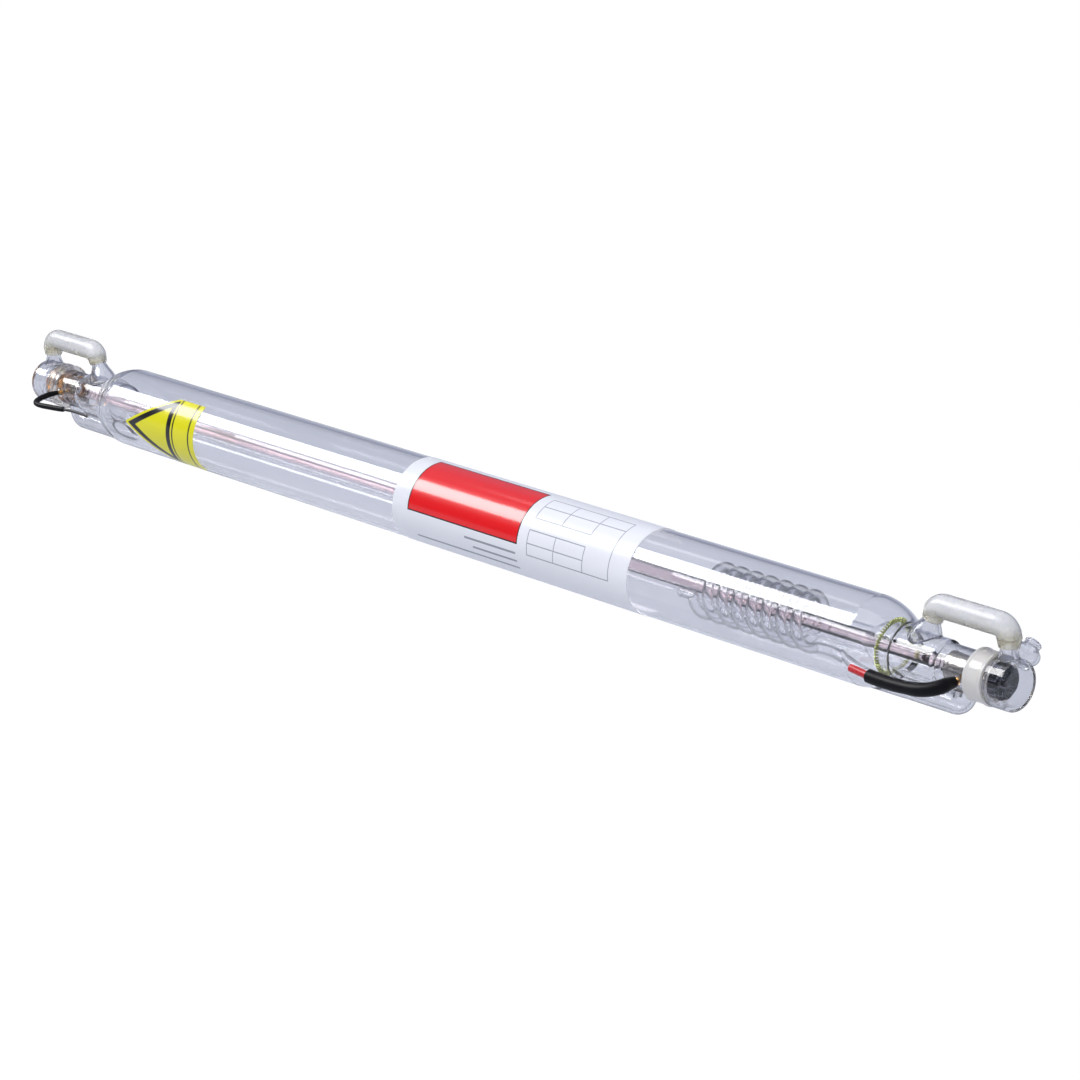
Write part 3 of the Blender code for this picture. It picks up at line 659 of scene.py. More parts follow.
def wall_ramp(tree, height, sky, stops):
    """How bright the studio walls are at each height above the horizon."""
    ramp = add_node(tree, "ShaderNodeValToRGB", {0: height})
    band = ramp.color_ramp
    for place, shade in stops[1:-1]:
        band.elements.new(place)
    for element, (place, shade) in zip(band.elements, stops):
        element.position = place
        element.color = (*(shade * c for c in sky), 1.0)
    return ramp


# Shares of the walls' brightness over height: on the camera's side, and behind the tube
NEAR_WALLS = ((0.0, 0.28), (0.25, 0.28), (0.36, 0.55), (0.55, 0.8), (1.0, 0.9))
FAR_WALLS = ((0.0, 0.85), (0.17, 0.85), (0.21, 0.6), (0.36, 0.6), (0.48, 0.85), (1.0, 0.9))


def set_world(context, sky):
    """Pale overhead and behind the tube, and dark along the horizon, which outlines the glass."""
    world = bpy.data.worlds.new("studio")
    world.use_nodes = True
    tree = world.node_tree
    coords = add_node(tree, "ShaderNodeTexCoord")
    parts = add_node(tree, "ShaderNodeSeparateXYZ", {0: (coords, "Generated")})
    height = (parts, "Z")
    near = wall_ramp(tree, height, sky, NEAR_WALLS)
    far = wall_ramp(tree, height, sky, FAR_WALLS)
    toward = add_node(
        tree, "ShaderNodeMath", {0: (parts, "Y"), 1: (parts, "X")}, operation="SUBTRACT"
    )
    backdrop = add_node(
        tree, "ShaderNodeMapRange", {"Value": (toward, 0), "From Min": 1.0, "From Max": 1.2}
    )
    walls = add_node(
        tree,
        "ShaderNodeMix",
        {0: (backdrop, 0), 6: (near, 0), 7: (far, 0)},
        data_type="RGBA",
    )
    back = tree.nodes["Background"]
    tree.links.new(walls.outputs[2], back.inputs["Color"])
    back.inputs["Strength"].default_value = 1.0
    context.scene.world = world


def shoulder_curve(length, big, lip, steps=28):
    """The blown shoulder of the envelope, from the cylinder to the lip."""
    points = []
    for i in range(steps + 1):
        t = math.sin(math.pi / 2 * i / steps)
        drop = (1 - t**SHOULDER_POWER) ** (1 / SHOULDER_POWER)
        points.append((LIP_X - SHOULDER_LENGTH + length * t, lip + (big - lip) * drop))
    return points


def envelope_radius_at(x):
    """Outer radius of the envelope's shoulder at a distance from the middle."""
    big = bpy.context.scene.tube_glass.envelope_diameter / 2
    t = (x - (LIP_X - SHOULDER_LENGTH)) / SHOULDER_LENGTH
    if t <= 0:
        return big
    if t >= 1:
        return 0.0
    lip = NECK_R + 2.3 * MM
    return lip + (big - lip) * (1 - t**SHOULDER_POWER) ** (1 / SHOULDER_POWER)


class TUBE_OT_envelope(bpy.types.Operator):
    """Blow the gas envelope with its two round shoulders"""

    bl_idname = "tube.envelope"
    bl_label = "Build Envelope"

    def execute(self, context):
        glass = context.scene.tube_glass
        big = glass.envelope_diameter / 2
        wall = glass.envelope_wall
        lip_out = NECK_R + 2.3 * MM
        lip_in = NECK_R + 0.1 * MM
        outer = shoulder_curve(SHOULDER_LENGTH, big, lip_out)
        inner = shoulder_curve(SHOULDER_LENGTH - wall, big - wall, lip_in + 0.4 * MM)
        # The lip is melted down onto the neck in a round bead
        bead = [(LIP_X + 1.6 * MM, lip_out - 0.2 * MM), (LIP_X + 1.2 * MM, lip_in), (LIP_X, lip_in)]
        lip = rounded([outer[-1], *bead, inner[-1]], 1.4 * MM)
        side = outer + lip[1:-1] + inner[::-1]
        outline = side + flipped(side, FRONT)[::-1]
        bm = bmesh.new()
        lathe(bm, outline)
        # Drawn borosilicate tube: long faint striae along it, and a faint painted shade at its edges
        rim = (0.97, 0.92)
        material = glass_material(
            "drawn borosilicate", glass.tint, GLASS_IOR, 12 * MM, 0.002 * MM, 0.03, rim
        )
        piece("blown_envelope", bm, material, "glass", "gas_envelope")
        return {"FINISHED"}


def flare_curve(small, big, steps=20):
    points = []
    start = LIP_X - NECK_INSIDE - FLARE_LENGTH
    for i in range(steps + 1):
        t = i / steps
        rise = t * t * (3 - 2 * t)
        points.append((start + FLARE_LENGTH * t, small + (big - small) * rise))
    return points


class TUBE_OT_jacket(bpy.types.Operator):
    """Draw the water jacket and the discharge tube inside it"""

    bl_idname = "tube.jacket"
    bl_label = "Build Jacket and Bore"

    def execute(self, context):
        glass = context.scene.tube_glass
        hole = BORE_R + 0.1 * MM
        end = [(PARTITION_X, NECK_R), (PARTITION_X, hole)]
        inside = PARTITION_X - NECK_WALL
        end += [(inside, hole), (inside, NECK_R - NECK_WALL)]
        outer = flare_curve(JACKET_R, NECK_R)
        inner = flare_curve(JACKET_R - JACKET_WALL, NECK_R - NECK_WALL)
        corners = rounded([outer[-1], *end, inner[-1]], 1.6 * MM)
        side = outer + corners[1:-1] + inner[::-1]
        bm = bmesh.new()
        lathe(bm, side + flipped(side, FRONT)[::-1], segments=96)
        # Thinner drawn tube, with finer striae and a light painted shade at its edges
        rim = (0.85, 0.9)
        material = glass_material(
            "jacket borosilicate", glass.tint, GLASS_IOR, 8 * MM, 0.001 * MM, 0.03, rim
        )
        piece("drawn_jacket", bm, material, "glass", "water_jacket")

        bm = bmesh.new()
        bore = [
            (BORE_END_X, BORE_R),
            (-BORE_END_X, BORE_R),
            (-BORE_END_X, BORE_R - BORE_WALL),
            (BORE_END_X, BORE_R - BORE_WALL),
        ]
        lathe(bm, rounded_loop(bore, 0.5 * MM), segments=72)
        # Faintly pink where its wall is looked along, with the jacket's painted shade at its edges
        material = glass_material(
            "bore tube glass", glass.bore_tint, GLASS_IOR, 7 * MM, 0.001 * MM, 0.03, rim
        )
        piece("drawn_bore_tube", bm, material, "glass", "discharge_tube")
        return {"FINISHED"}


class TUBE_OT_coil(bpy.types.Operator):
    """Wind the gas return coil round the jacket"""

    bl_idname = "tube.coil"
    bl_label = "Build Gas Return Coil"

    def execute(self, context):
        glass = context.scene.tube_glass
        steps = round(COIL_TURNS * COIL_STEPS)
        helix = []
        for i in range(steps + 1):
            turn = COIL_TURNS * i / steps
            angle = -math.pi / 2 + 2 * math.pi * (turn - COIL_TURNS)
            x = COIL_START_X + COIL_PITCH * turn
            helix.append(Vector((x, COIL_R * math.cos(angle), COIL_R * math.sin(angle))))
        last = helix[-1]
        tail_end = Vector((COIL_END_X - 0.5 * MM, 0, -ARM_DROP))
        straight = tail_end - Vector((17 * MM, 0, 0))
        run = straight - last
        swing = Vector((0, COIL_TUBE_R, 0))
        tail = [last, last + run * 0.15 + swing, last + run * 0.35 + swing, last + run * 0.7]
        tail = smooth_route([*tail, straight, tail_end], 2 * MM)
        before = helix[0] - Vector((9 * MM, 0, 0))
        lead_in = smooth_route([before, before + Vector((4.5 * MM, 0, 0)), helix[0]], 1.5 * MM)
        path = lead_in[:-1] + helix + tail[1:]
        bm = bmesh.new()
        tube(bm, path, [COIL_TUBE_R] * len(path), COIL_WALL, 28)
        # Bent over a flame: slight waves, and painted shade that draws dark outlines where the wall is
        # seen edge on
        rim = (0.0, 0.3)
        material = glass_material(
            "bent capillary glass", glass.tint, GLASS_IOR, 4 * MM, 0.004 * MM, rim=rim
        )
        piece("wound_gas_coil", bm, material, "glass", "gas_return_coil")
        return {"FINISHED"}


class TUBE_OT_spring(bpy.types.Operator):
    """Coil the garter spring that sits on the rear neck"""

    bl_idname = "tube.spring"
    bl_label = "Build Garter Spring"

    def execute(self, context):
        wire = 0.42 * MM
        small = 1.3 * MM - wire
        ring = NECK_R + 0.15 * MM + 1.3 * MM
        turns = 56
        steps = turns * 14
        path = []
        for i in range(steps):
            along = 2 * math.pi * i / steps
            twist = along * turns
            out = ring + small * math.cos(twist)
            x = SPRING_X + small * math.sin(twist)
            path.append(Vector((x, out * math.cos(along), out * math.sin(along))))
        bm = bmesh.new()
        bar(bm, path, [wire] * len(path), 7)
        # Passivated steel wire: olive-gold film over a bright metal
        material = surface_material(
            "yellow passivated spring steel",
            (linear("#8C9350"), linear("#B8BC7C")),
            0.3,
            2 * MM,
            0.01 * MM,
            metallic=1.0,
        )
        piece("wound_garter_spring", bm, material, "spring_wire", "support_spring")
        return {"FINISHED"}


def head_glass(context):
    """Lampworked borosilicate: thick, with soft waves left by the flame, and painted shade that darkens
    its edges.
    """
    found = bpy.data.materials.get("lampworked borosilicate")
    if found:
        return found
    tint = context.scene.tube_glass.tint
    rim = (0.06, 0.5)
    return glass_material("lampworked borosilicate", tint, GLASS_IOR, 5 * MM, 0.13 * MM, rim=rim)


def chamber_radius_at(x):
    return CHAMBER_R if PARTITION_X < x < SKIRT_X else 0.0


def cap_radius_at(x):
    """Outer radius of a water cap at a distance from the middle."""
    into_corner = x - (END_X - CAP_CORNER)
    if into_corner <= 0:
        return CAP_R
    if into_corner >= CAP_CORNER:
        return 0.0
    return CAP_R - CAP_CORNER + math.sqrt(CAP_CORNER**2 - into_corner**2)


class TUBE_OT_chambers(bpy.types.Operator):
    """Blow the electrode chambers and bend the gas arms"""

    bl_idname = "tube.chambers"
    bl_label = "Build Chambers and Gas Arms"

    def execute(self, context):
        material = head_glass(context)
        chamber_end = SKIRT_X - 0.3 * MM
        inner = CHAMBER_R - CHAMBER_WALL
        seat_in = SEAT_TUBE_R - CHAMBER_WALL
        flange_back = SEAT_X - 1.5 * MM
        for side, end in ENDS:
            outline = [
                (PARTITION_X + 0.1 * MM, CHAMBER_R),
                (chamber_end, CHAMBER_R),
                (chamber_end, SEAT_TUBE_R),
                (flange_back, SEAT_TUBE_R),
                (flange_back, FLANGE_R),
                (SEAT_X, FLANGE_R),
                (SEAT_X, seat_in),
                (chamber_end - CHAMBER_WALL, seat_in),
                (chamber_end - CHAMBER_WALL, inner),
                (PARTITION_X + 0.1 * MM, inner),
            ]
            bm = bmesh.new()
            lathe(bm, flipped(rounded_loop(outline, 1.1 * MM), side))
            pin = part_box(("cathode" if side == FRONT else "anode") + "_pin")
            centre = (pin[0] + pin[1]) / 2
            bead = [(-CHAMBER_R - 2.1 * MM, 0.9 * MM), (-CHAMBER_R - 1.2 * MM, 1.6 * MM)]
            bead += [(-CHAMBER_R + 0.1 * MM, 2.7 * MM), (-CHAMBER_R + 0.6 * MM, 3.2 * MM)]
            bead += [(-CHAMBER_R + 0.6 * MM, 0.9 * MM)]
            place = Matrix.Translation((centre.x, 0, centre.z)) @ Matrix.Rotation(-math.pi / 2, 4, "X")
            lathe(bm, rounded_loop(bead, 0.5 * MM), place, 32)
            piece(end + "_blown_chamber", bm, material, "glass", end + "_chamber")
            bm = bmesh.new()
            bend = 7 * MM
            route = [(LIP_X - SHOULDER_LENGTH + 2 * MM, -ARM_DROP), (LIP_X + 2 * MM, -ARM_DROP)]
            route += [(LIP_X + 5 * MM, -ARM_DROP)]
            for i in range(17):
                angle = -math.pi / 2 + math.pi / 2 * i / 16
                x = ARM_RISER_X - bend + bend * math.cos(angle)
                route.append((x, -ARM_DROP + bend + bend * math.sin(angle)))
            route += [(ARM_RISER_X, -CHAMBER_R + 2 * MM)]
            path = [Vector((side * x, 0, z)) for x, z in route]
            radii = [ARM_R * 1.05, ARM_R * 1.02] + [ARM_R] * (len(path) - 3) + [ARM_R * 1.1]
            outer, hollow = tube(bm, path, radii, ARM_WALL, FINE_RINGS)
            seat_on(outer[0] + hollow[0], Vector((side, 0, 0)), envelope_radius_at)
            seat_on(outer[-1] + hollow[-1], Vector((0, 0, -1)), chamber_radius_at)
            piece(end + "_bent_gas_arm", bm, material, "glass", end + "_gas_arm")
        return {"FINISHED"}


def nipple_place(x, height, lean=0.0, turn=0.0):
    """A nipple's axis stands up at x, leans along the tube, or turns about it toward +Y."""
    stand = Matrix.Rotation(-turn, 4, "X") @ Matrix.Translation((x, 0, height))
    return stand @ Matrix.Rotation(lean, 4, "Y")


def blown_nipple(bm, stations, place, radius_at, bore=NIPPLE_R - NIPPLE_WALL):
    """A nipple seated on a body. Stations are (height, outer radius), foot first."""
    outer = rounded(stations, 1.5 * MM)
    inner = [(h, max(r - NIPPLE_WALL, bore)) for h, r in outer]
    rings = lathe(bm, list(outer) + inner[::-1], place, FINE_RINGS)
    feet = [v for ring in rings for v in ring]
    axis = (place.to_3x3() @ Vector((0, 0, 1))).normalized()
    seat_on(feet, axis, radius_at)


class TUBE_OT_caps(bpy.types.Operator):
    """Blow the water caps with their nipples and free ports"""

    bl_idname = "tube.caps"
    bl_label = "Build Water Caps"

    def execute(self, context):
        material = head_glass(context)
        top = context.scene.tube_rubber.hose_height
        for side, end in ENDS:
            self.cap(end, side, material)
            bm = bmesh.new()
            foot = NECK_R - 6 * MM
            tip = (top - HOSE_BEND * (1 - math.sin(CONE_LEAN)) - foot) / math.cos(CONE_LEAN)
            grip = tip - HOSE_GRIP
            stations = [(0, CONE_FOOT_R), (0.4 * grip, 0.93 * CONE_FOOT_R)]
            stations += [(0.62 * grip, 0.76 * CONE_FOOT_R), (0.82 * grip, 0.58 * CONE_FOOT_R)]
            stations += [(grip, NIPPLE_R), (tip, NIPPLE_R)]
            place = nipple_place(side * CONE_FOOT_X, foot, lean=side * CONE_LEAN)
            blown_nipple(bm, stations, place, lambda x: NECK_R)
            piece(end + "_blown_jacket_nipple", bm, material, "glass", end + "_jacket_nipple")

            bm = bmesh.new()
            stations = [(CAP_R - 1.5 * MM, 6.2 * MM), (CAP_R + 2.2 * MM, 5 * MM)]
            stations += [(CAP_R + 4.5 * MM, NIPPLE_R), (top - HOSE_BEND, NIPPLE_R)]
            place = nipple_place(side * CAP_NIPPLE_X, 0)
            blown_nipple(bm, stations, place, cap_radius_at)
            piece(end + "_blown_cap_nipple", bm, material, "glass", end + "_cap_nipple")

            bm = bmesh.new()
            # A bulb is blown at the port's root, and a short hose neck is drawn out of it
            stations = [(CAP_R - 1.5 * MM, 5.6 * MM), (CAP_R, 5.3 * MM), (CAP_R + 1.2 * MM, 6.2 * MM)]
            stations += [(CAP_R + 3 * MM, 7.4 * MM), (CAP_R + 5 * MM, 7.8 * MM)]
            stations += [(CAP_R + 7 * MM, 7.2 * MM), (CAP_R + 8.4 * MM, 5.6 * MM)]
            stations += [(CAP_R + 9.4 * MM, NIPPLE_R), (CAP_R + 11.2 * MM, NIPPLE_R)]
            stations += [(CAP_R + 12 * MM, 4.9 * MM), (CAP_R + 12.5 * MM, 4.2 * MM)]
            turn = math.radians(50 if side == REAR else 110)
            place = nipple_place(side * FREE_PORT_X, 0, turn=turn)
            blown_nipple(bm, stations, place, cap_radius_at)
            piece(end + "_blown_water_port", bm, material, "glass", end + "_water_port")
        return {"FINISHED"}

    def cap(self, end, side, material):
        shoulder = SEAT_X
        inside = CAP_R - CAP_WALL
        bore = FLANGE_R + 0.1 * MM
        outer = [(SKIRT_X, CHAMBER_R), (shoulder, CHAMBER_R), (shoulder + 0.3 * MM, CAP_R)]
        inner = [(shoulder + CAP_WALL + 1 * MM, inside), (shoulder + CAP_WALL, bore), (SKIRT_X, bore)]
        if side == REAR:
            outer += [(END_X, CAP_R), (END_X, 0)]
            inner = [(END_X - CAP_WALL, 0), (END_X - CAP_WALL, inside), *inner]
        else:
            beam_out = BEAM_TUBE_R
            beam_in = BEAM_TUBE_R - BEAM_TUBE_WALL
            beam_end = SEAT_X + 3.6 * MM
            outer += [(END_X, CAP_R), (END_X, beam_in), (beam_end, beam_in), (beam_end, beam_out)]
            inner = [(END_X - CAP_WALL, beam_out), (END_X - CAP_WALL, inside), *inner]
        bm = bmesh.new()
        if side == REAR:
            lathe(bm, rounded(outer[::-1] + inner[::-1], 2.6 * MM, 8), closed=False)
        else:
            lathe(bm, flipped(rounded_loop(outer + inner, 2.2 * MM, 8), side))
        piece(end + "_blown_water_cap", bm, material, "glass", end + "_water_cap")


class TUBE_OT_silicone(bpy.types.Operator):
    """Mould the silicone sleeves and bend the bridge hoses"""

    bl_idname = "tube.silicone"
    bl_label = "Build Sleeves and Hoses"

    def execute(self, context):
        rubber = context.scene.tube_rubber
        # The hose is white where it is bent over the loop and wet-clear where it hugs the glass
        hose_rubber = silicone_material("milky silicone hose", rubber.silicone, (0.95, 0.12))
        # The rear sleeve is thick and warm. The front one is wet inside, so the coupler shows through
        milky = silicone_material("milky silicone sleeve", rubber.sleeve, (0.22, 0.22))
        clear = silicone_material("clear silicone sleeve", rubber.sleeve, (0.92, 0.92))
        for side, end in ENDS:
            low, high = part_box(end + "_sleeve")
            start, stop = (low.x, high.x) if side == REAR else (-high.x, -low.x)
            bore = CHAMBER_R + 0.1 * MM
            outline = [(start, bore), (start, SLEEVE_BEAD_R), (start + 1.2 * MM, SLEEVE_BEAD_R)]
            outline += [(start + 2 * MM, SLEEVE_R), (stop - 2 * MM, SLEEVE_R)]
            outline += [(stop - 1.2 * MM, SLEEVE_BEAD_R), (stop, SLEEVE_BEAD_R), (stop, bore)]
            bm = bmesh.new()
            lathe(bm, flipped(rounded_loop(outline, 0.4 * MM), side))
            sleeve = milky if side == REAR else clear
            piece(end + "_moulded_sleeve", bm, sleeve, "silicone", end + "_sleeve")
            self.hose(end, side, rubber, hose_rubber)
        return {"FINISHED"}

    def hose(self, end, side, rubber, material):
        bend = HOSE_BEND
        top = rubber.hose_height
        foot = NECK_R - 6 * MM
        tip = (top - bend * (1 - math.sin(CONE_LEAN)) - foot) / math.cos(CONE_LEAN)
        grip = nipple_place(CONE_FOOT_X, foot, lean=CONE_LEAN) @ Vector((0, 0, tip - HOSE_GRIP))
        tip = nipple_place(CONE_FOOT_X, foot, lean=CONE_LEAN) @ Vector((0, 0, tip))
        first = (tip.x + bend * math.cos(CONE_LEAN), top - bend)
        last = (CAP_NIPPLE_X - bend, top - bend)
        route = [(grip.x, grip.z)]
        steps = 16
        for i in range(steps + 1):
            angle = math.pi - CONE_LEAN + (math.pi / 2 - math.pi + CONE_LEAN) * i / steps
            route.append((first[0] + bend * math.cos(angle), first[1] + bend * math.sin(angle)))
        for i in range(1, 8):
            share = i / 8
            route.append((first[0] + (last[0] - first[0]) * share, top))
        for i in range(steps + 1):
            angle = math.pi / 2 * (1 - i / steps)
            route.append((last[0] + bend * math.cos(angle), last[1] + bend * math.sin(angle)))
        route.append((CAP_NIPPLE_X, top - bend - HOSE_GRIP))
        path = [Vector((side * x, 0, z)) for x, z in route]
        radius = rubber.hose_diameter / 2
        # The hose thins out where it is stretched over the glass
        radii = [radius * 0.86, radius * 0.93, radius * 0.97] + [radius] * (len(path) - 5)
        radii += [radius * 0.97, radius * 0.86]
        bm = bmesh.new()
        tube(bm, path, radii, radius * 0.86 - NIPPLE_R - 0.15 * MM, 48)
        piece(end + "_bent_bridge_hose", bm, material, "silicone", end + "_bridge_hose")


def silicone_material(name, colour, clear):
    """Platinum-cured silicone: milky with a soft gloss, and painted shade under a hose. clear is its
    transmission, low and high up.
    """
    material, tree, output = new_material(name)
    coords = add_node(tree, "ShaderNodeTexCoord")
    cloud = add_node(
        tree, "ShaderNodeTexNoise", {"Vector": (coords, "Object"), "Scale": 1 / (6 * MM), "Detail": 2.0}
    )
    height = add_node(tree, "ShaderNodeSeparateXYZ", {0: (coords, "Object")})
    low, high = clear
    if low == high:
        milk = low
        dull = 0.03
        tint_and_underside_shade = (0.97, 0.96, 0.95)
    else:
        span = {"From Min": 24 * MM, "From Max": 30 * MM, "To Min": low, "To Max": high}
        fade = add_node(tree, "ShaderNodeMapRange", {"Value": (height, "Z"), **span})
        # Seen edge on, the wall of the hose is clear
        slope = add_node(tree, "ShaderNodeLayerWeight", {"Blend": 0.5})
        edge = add_node(
            tree,
            "ShaderNodeMapRange",
            {"Value": (slope, "Facing"), "From Min": 0.4, "From Max": 0.85, "To Max": 0.65},
        )
        clearest = add_node(
            tree, "ShaderNodeMath", {0: (fade, 0), 1: (edge, 0)}, operation="MAXIMUM"
        )
        milk = (clearest, 0)
        dull = 0.2
        # Painted shade: the hose's underside is this much darker and creamier
        tint_and_underside_shade = (0.97, 0.94, 0.86)
    gloss = add_node(
        tree, "ShaderNodeMapRange", {"Value": (cloud, 0), "To Min": dull, "To Max": dull + 0.13}
    )
    bump = add_node(
        tree, "ShaderNodeBump", {"Height": (cloud, 0), "Strength": 1.0, "Distance": 0.10 * MM}
    )
    # Painted shade with a cream tint: the colour darkens toward the bottom of the hose, from 33 mm down
    # to 24 mm. The sleeves lie lower, so they take the darker tint all over.
    underside_shade_fade = add_node(
        tree, "ShaderNodeMapRange", {"Value": (height, "Z"), "From Min": 24 * MM, "From Max": 33 * MM}
    )
    under = tuple(c * s for c, s in zip(colour, tint_and_underside_shade))
    cream_and_painted_shade = add_node(
        tree,
        "ShaderNodeMix",
        {0: (underside_shade_fade, 0), 6: (*under, 1.0), 7: (*colour, 1.0)},
        data_type="RGBA",
    )
    body = add_node(
        tree,
        "ShaderNodeBsdfPrincipled",
        {
            "Base Color": (cream_and_painted_shade, 2),
            "Roughness": (gloss, 0),
            "IOR": 1.41,
            "Transmission Weight": milk,
            "Subsurface Weight": 1.0,
            "Subsurface Radius": (1.0, 1.0, 0.9),
            "Subsurface Scale": 3 * MM,
            "Normal": (bump, 0),
        },
    )
    to_output(tree, output, body)
    return material


def silicon_material():
    """Lapped silicon: nearly black with a navy cast, and paler lapping marks that run outward."""
    material, tree, output = new_material("lapped silicon")
    coords = add_node(tree, "ShaderNodeTexCoord")
    parts = add_node(tree, "ShaderNodeSeparateXYZ", {0: (coords, "Object")})
    turn = add_node(
        tree, "ShaderNodeMath", {0: (parts, "Z"), 1: (parts, "Y")}, operation="ARCTAN2"
    )
    swirl = add_node(
        tree,
        "ShaderNodeMath",
        {0: (parts, "Z"), 1: 1 / (5 * MM), 2: (turn, 0)},
        operation="MULTIPLY_ADD",
    )
    around = add_node(tree, "ShaderNodeCombineXYZ", {"X": (swirl, 0), "Y": (turn, 0)})
    marks = add_node(
        tree,
        "ShaderNodeTexNoise",
        {"Vector": (around, 0), "Scale": 3.2, "Detail": 3.0, "Roughness": 0.7},
    )
    share = add_node(
        tree, "ShaderNodeMapRange", {"Value": (marks, 0), "From Min": 0.52, "From Max": 0.62}
    )
    colour = add_node(
        tree,
        "ShaderNodeMix",
        {0: (share, 0), 6: (*linear("#020306"), 1.0), 7: (*linear("#787B86"), 1.0)},
        data_type="RGBA",
    )
    gloss = add_node(
        tree, "ShaderNodeMapRange", {"Value": (marks, 0), "To Min": 0.10, "To Max": 0.42}
    )
    body = add_node(
        tree,
        "ShaderNodeBsdfPrincipled",
        {"Base Color": (colour, 2), "Roughness": (gloss, 0), "Specular IOR Level": 0.05},
    )
    to_output(tree, output, body)
    return material


class TUBE_OT_mirrors(bpy.types.Operator):
    """Polish the rear mirror and the output coupler"""

    bl_idname = "tube.mirrors"
    bl_label = "Build Mirrors"

    def execute(self, context):
        chamfer = 0.35 * MM
        low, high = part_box("rear_mirror")
        disc = [(low.x, 0), (low.x, FLANGE_R), (high.x, FLANGE_R), (high.x, 0)]
        bm = bmesh.new()
        lathe(bm, rounded(disc, chamfer, 3), closed=False)
        piece("polished_rear_mirror", bm, silicon_material(), "silicon_mirror", "rear_mirror")
        low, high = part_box("output_coupler")
        disc = [(low.x, 0), (low.x, FLANGE_R), (high.x, FLANGE_R), (high.x, 0)]
        bm = bmesh.new()
        lathe(bm, rounded(disc, chamfer, 3), closed=False)
        # Zinc selenide lets yellow and red through and bends light strongly
        # Its edges take the glass's default painted shade
        material = glass_material("polished zinc selenide", linear("#DE9526"), 2.4, 8 * MM, 0.002 * MM)
        piece("polished_output_coupler", bm, material, "zinc_selenide", "output_coupler")
        bead = []
        for i in range(16):
            turn = 2 * math.pi * i / 16
            axial = high.x + 0.2 * MM + 0.7 * MM * math.cos(turn)
            bead.append((axial, FLANGE_R - 0.5 * MM + 0.8 * MM * math.sin(turn)))
        bm = bmesh.new()
        lathe(bm, bead, segments=96)
        # Cured resin that holds the coupler: amber, darker in random patches
        resin = surface_material(
            "amber resin",
            (linear("#8E4F12"), linear("#D9952F")),
            0.22,
            3 * MM,
            0.15 * MM,
            transmission_weight=0.45,
        )
        piece("coupler_resin_bead", bm, resin, "silicone")
        return {"FINISHED"}


class TUBE_OT_electrodes(bpy.types.Operator):
    """Roll the hollow electrodes and turn their pins"""

    bl_idname = "tube.electrodes"
    bl_label = "Build Electrodes"

    def execute(self, context):
        # Nickel sheet, rolled and vacuum fired: satin with drawing marks
        nickel = surface_material(
            "vacuum-fired nickel",
            (linear("#8F8B87"), linear("#C2BEB8")),
            0.24,
            1.2 * MM,
            0.008 * MM,
            along=0.1,
            metallic=1.0,
        )
        brass = surface_material(
            "drawn brass",
            (linear("#A9763B"), linear("#D2A45E")),
            0.26,
            1 * MM,
            0.01 * MM,
            metallic=1.0,
        )
        for name in ("cathode", "anode"):
            low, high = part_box(name)
            radius = 7.5 * MM
            wall = 0.8 * MM
            bead = 2.2 * MM
            outline = [(low.x, radius - wall), (low.x, radius), (low.x + bead, radius)]
            groove = radius - 0.45 * MM
            outline += [(low.x + bead + 0.5 * MM, groove), (low.x + bead + 1 * MM, radius)]
            outline += [(high.x - bead - 1 * MM, radius), (high.x - bead - 0.5 * MM, groove)]
            outline += [(high.x - bead, radius), (high.x, radius), (high.x, radius - wall)]
            bm = bmesh.new()
            lathe(bm, rounded_loop(outline, 0.3 * MM), segments=72)
            piece(name + "_rolled_can", bm, nickel, "nickel", name)
            low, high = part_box(name + "_pin")
            x, z = (low.x + high.x) / 2, (low.z + high.z) / 2
            pin = [(low.y, 0), (low.y, 1 * MM), (high.y, 1 * MM), (high.y, 0)]
            place = Matrix.Translation((x, 0, z)) @ Matrix.Rotation(-math.pi / 2, 4, "X")
            bm = bmesh.new()
            lathe(bm, rounded(pin, 0.4 * MM), place, 24, closed=False)
            piece(name + "_turned_pin", bm, brass, "brass", name + "_pin")
        return {"FINISHED"}


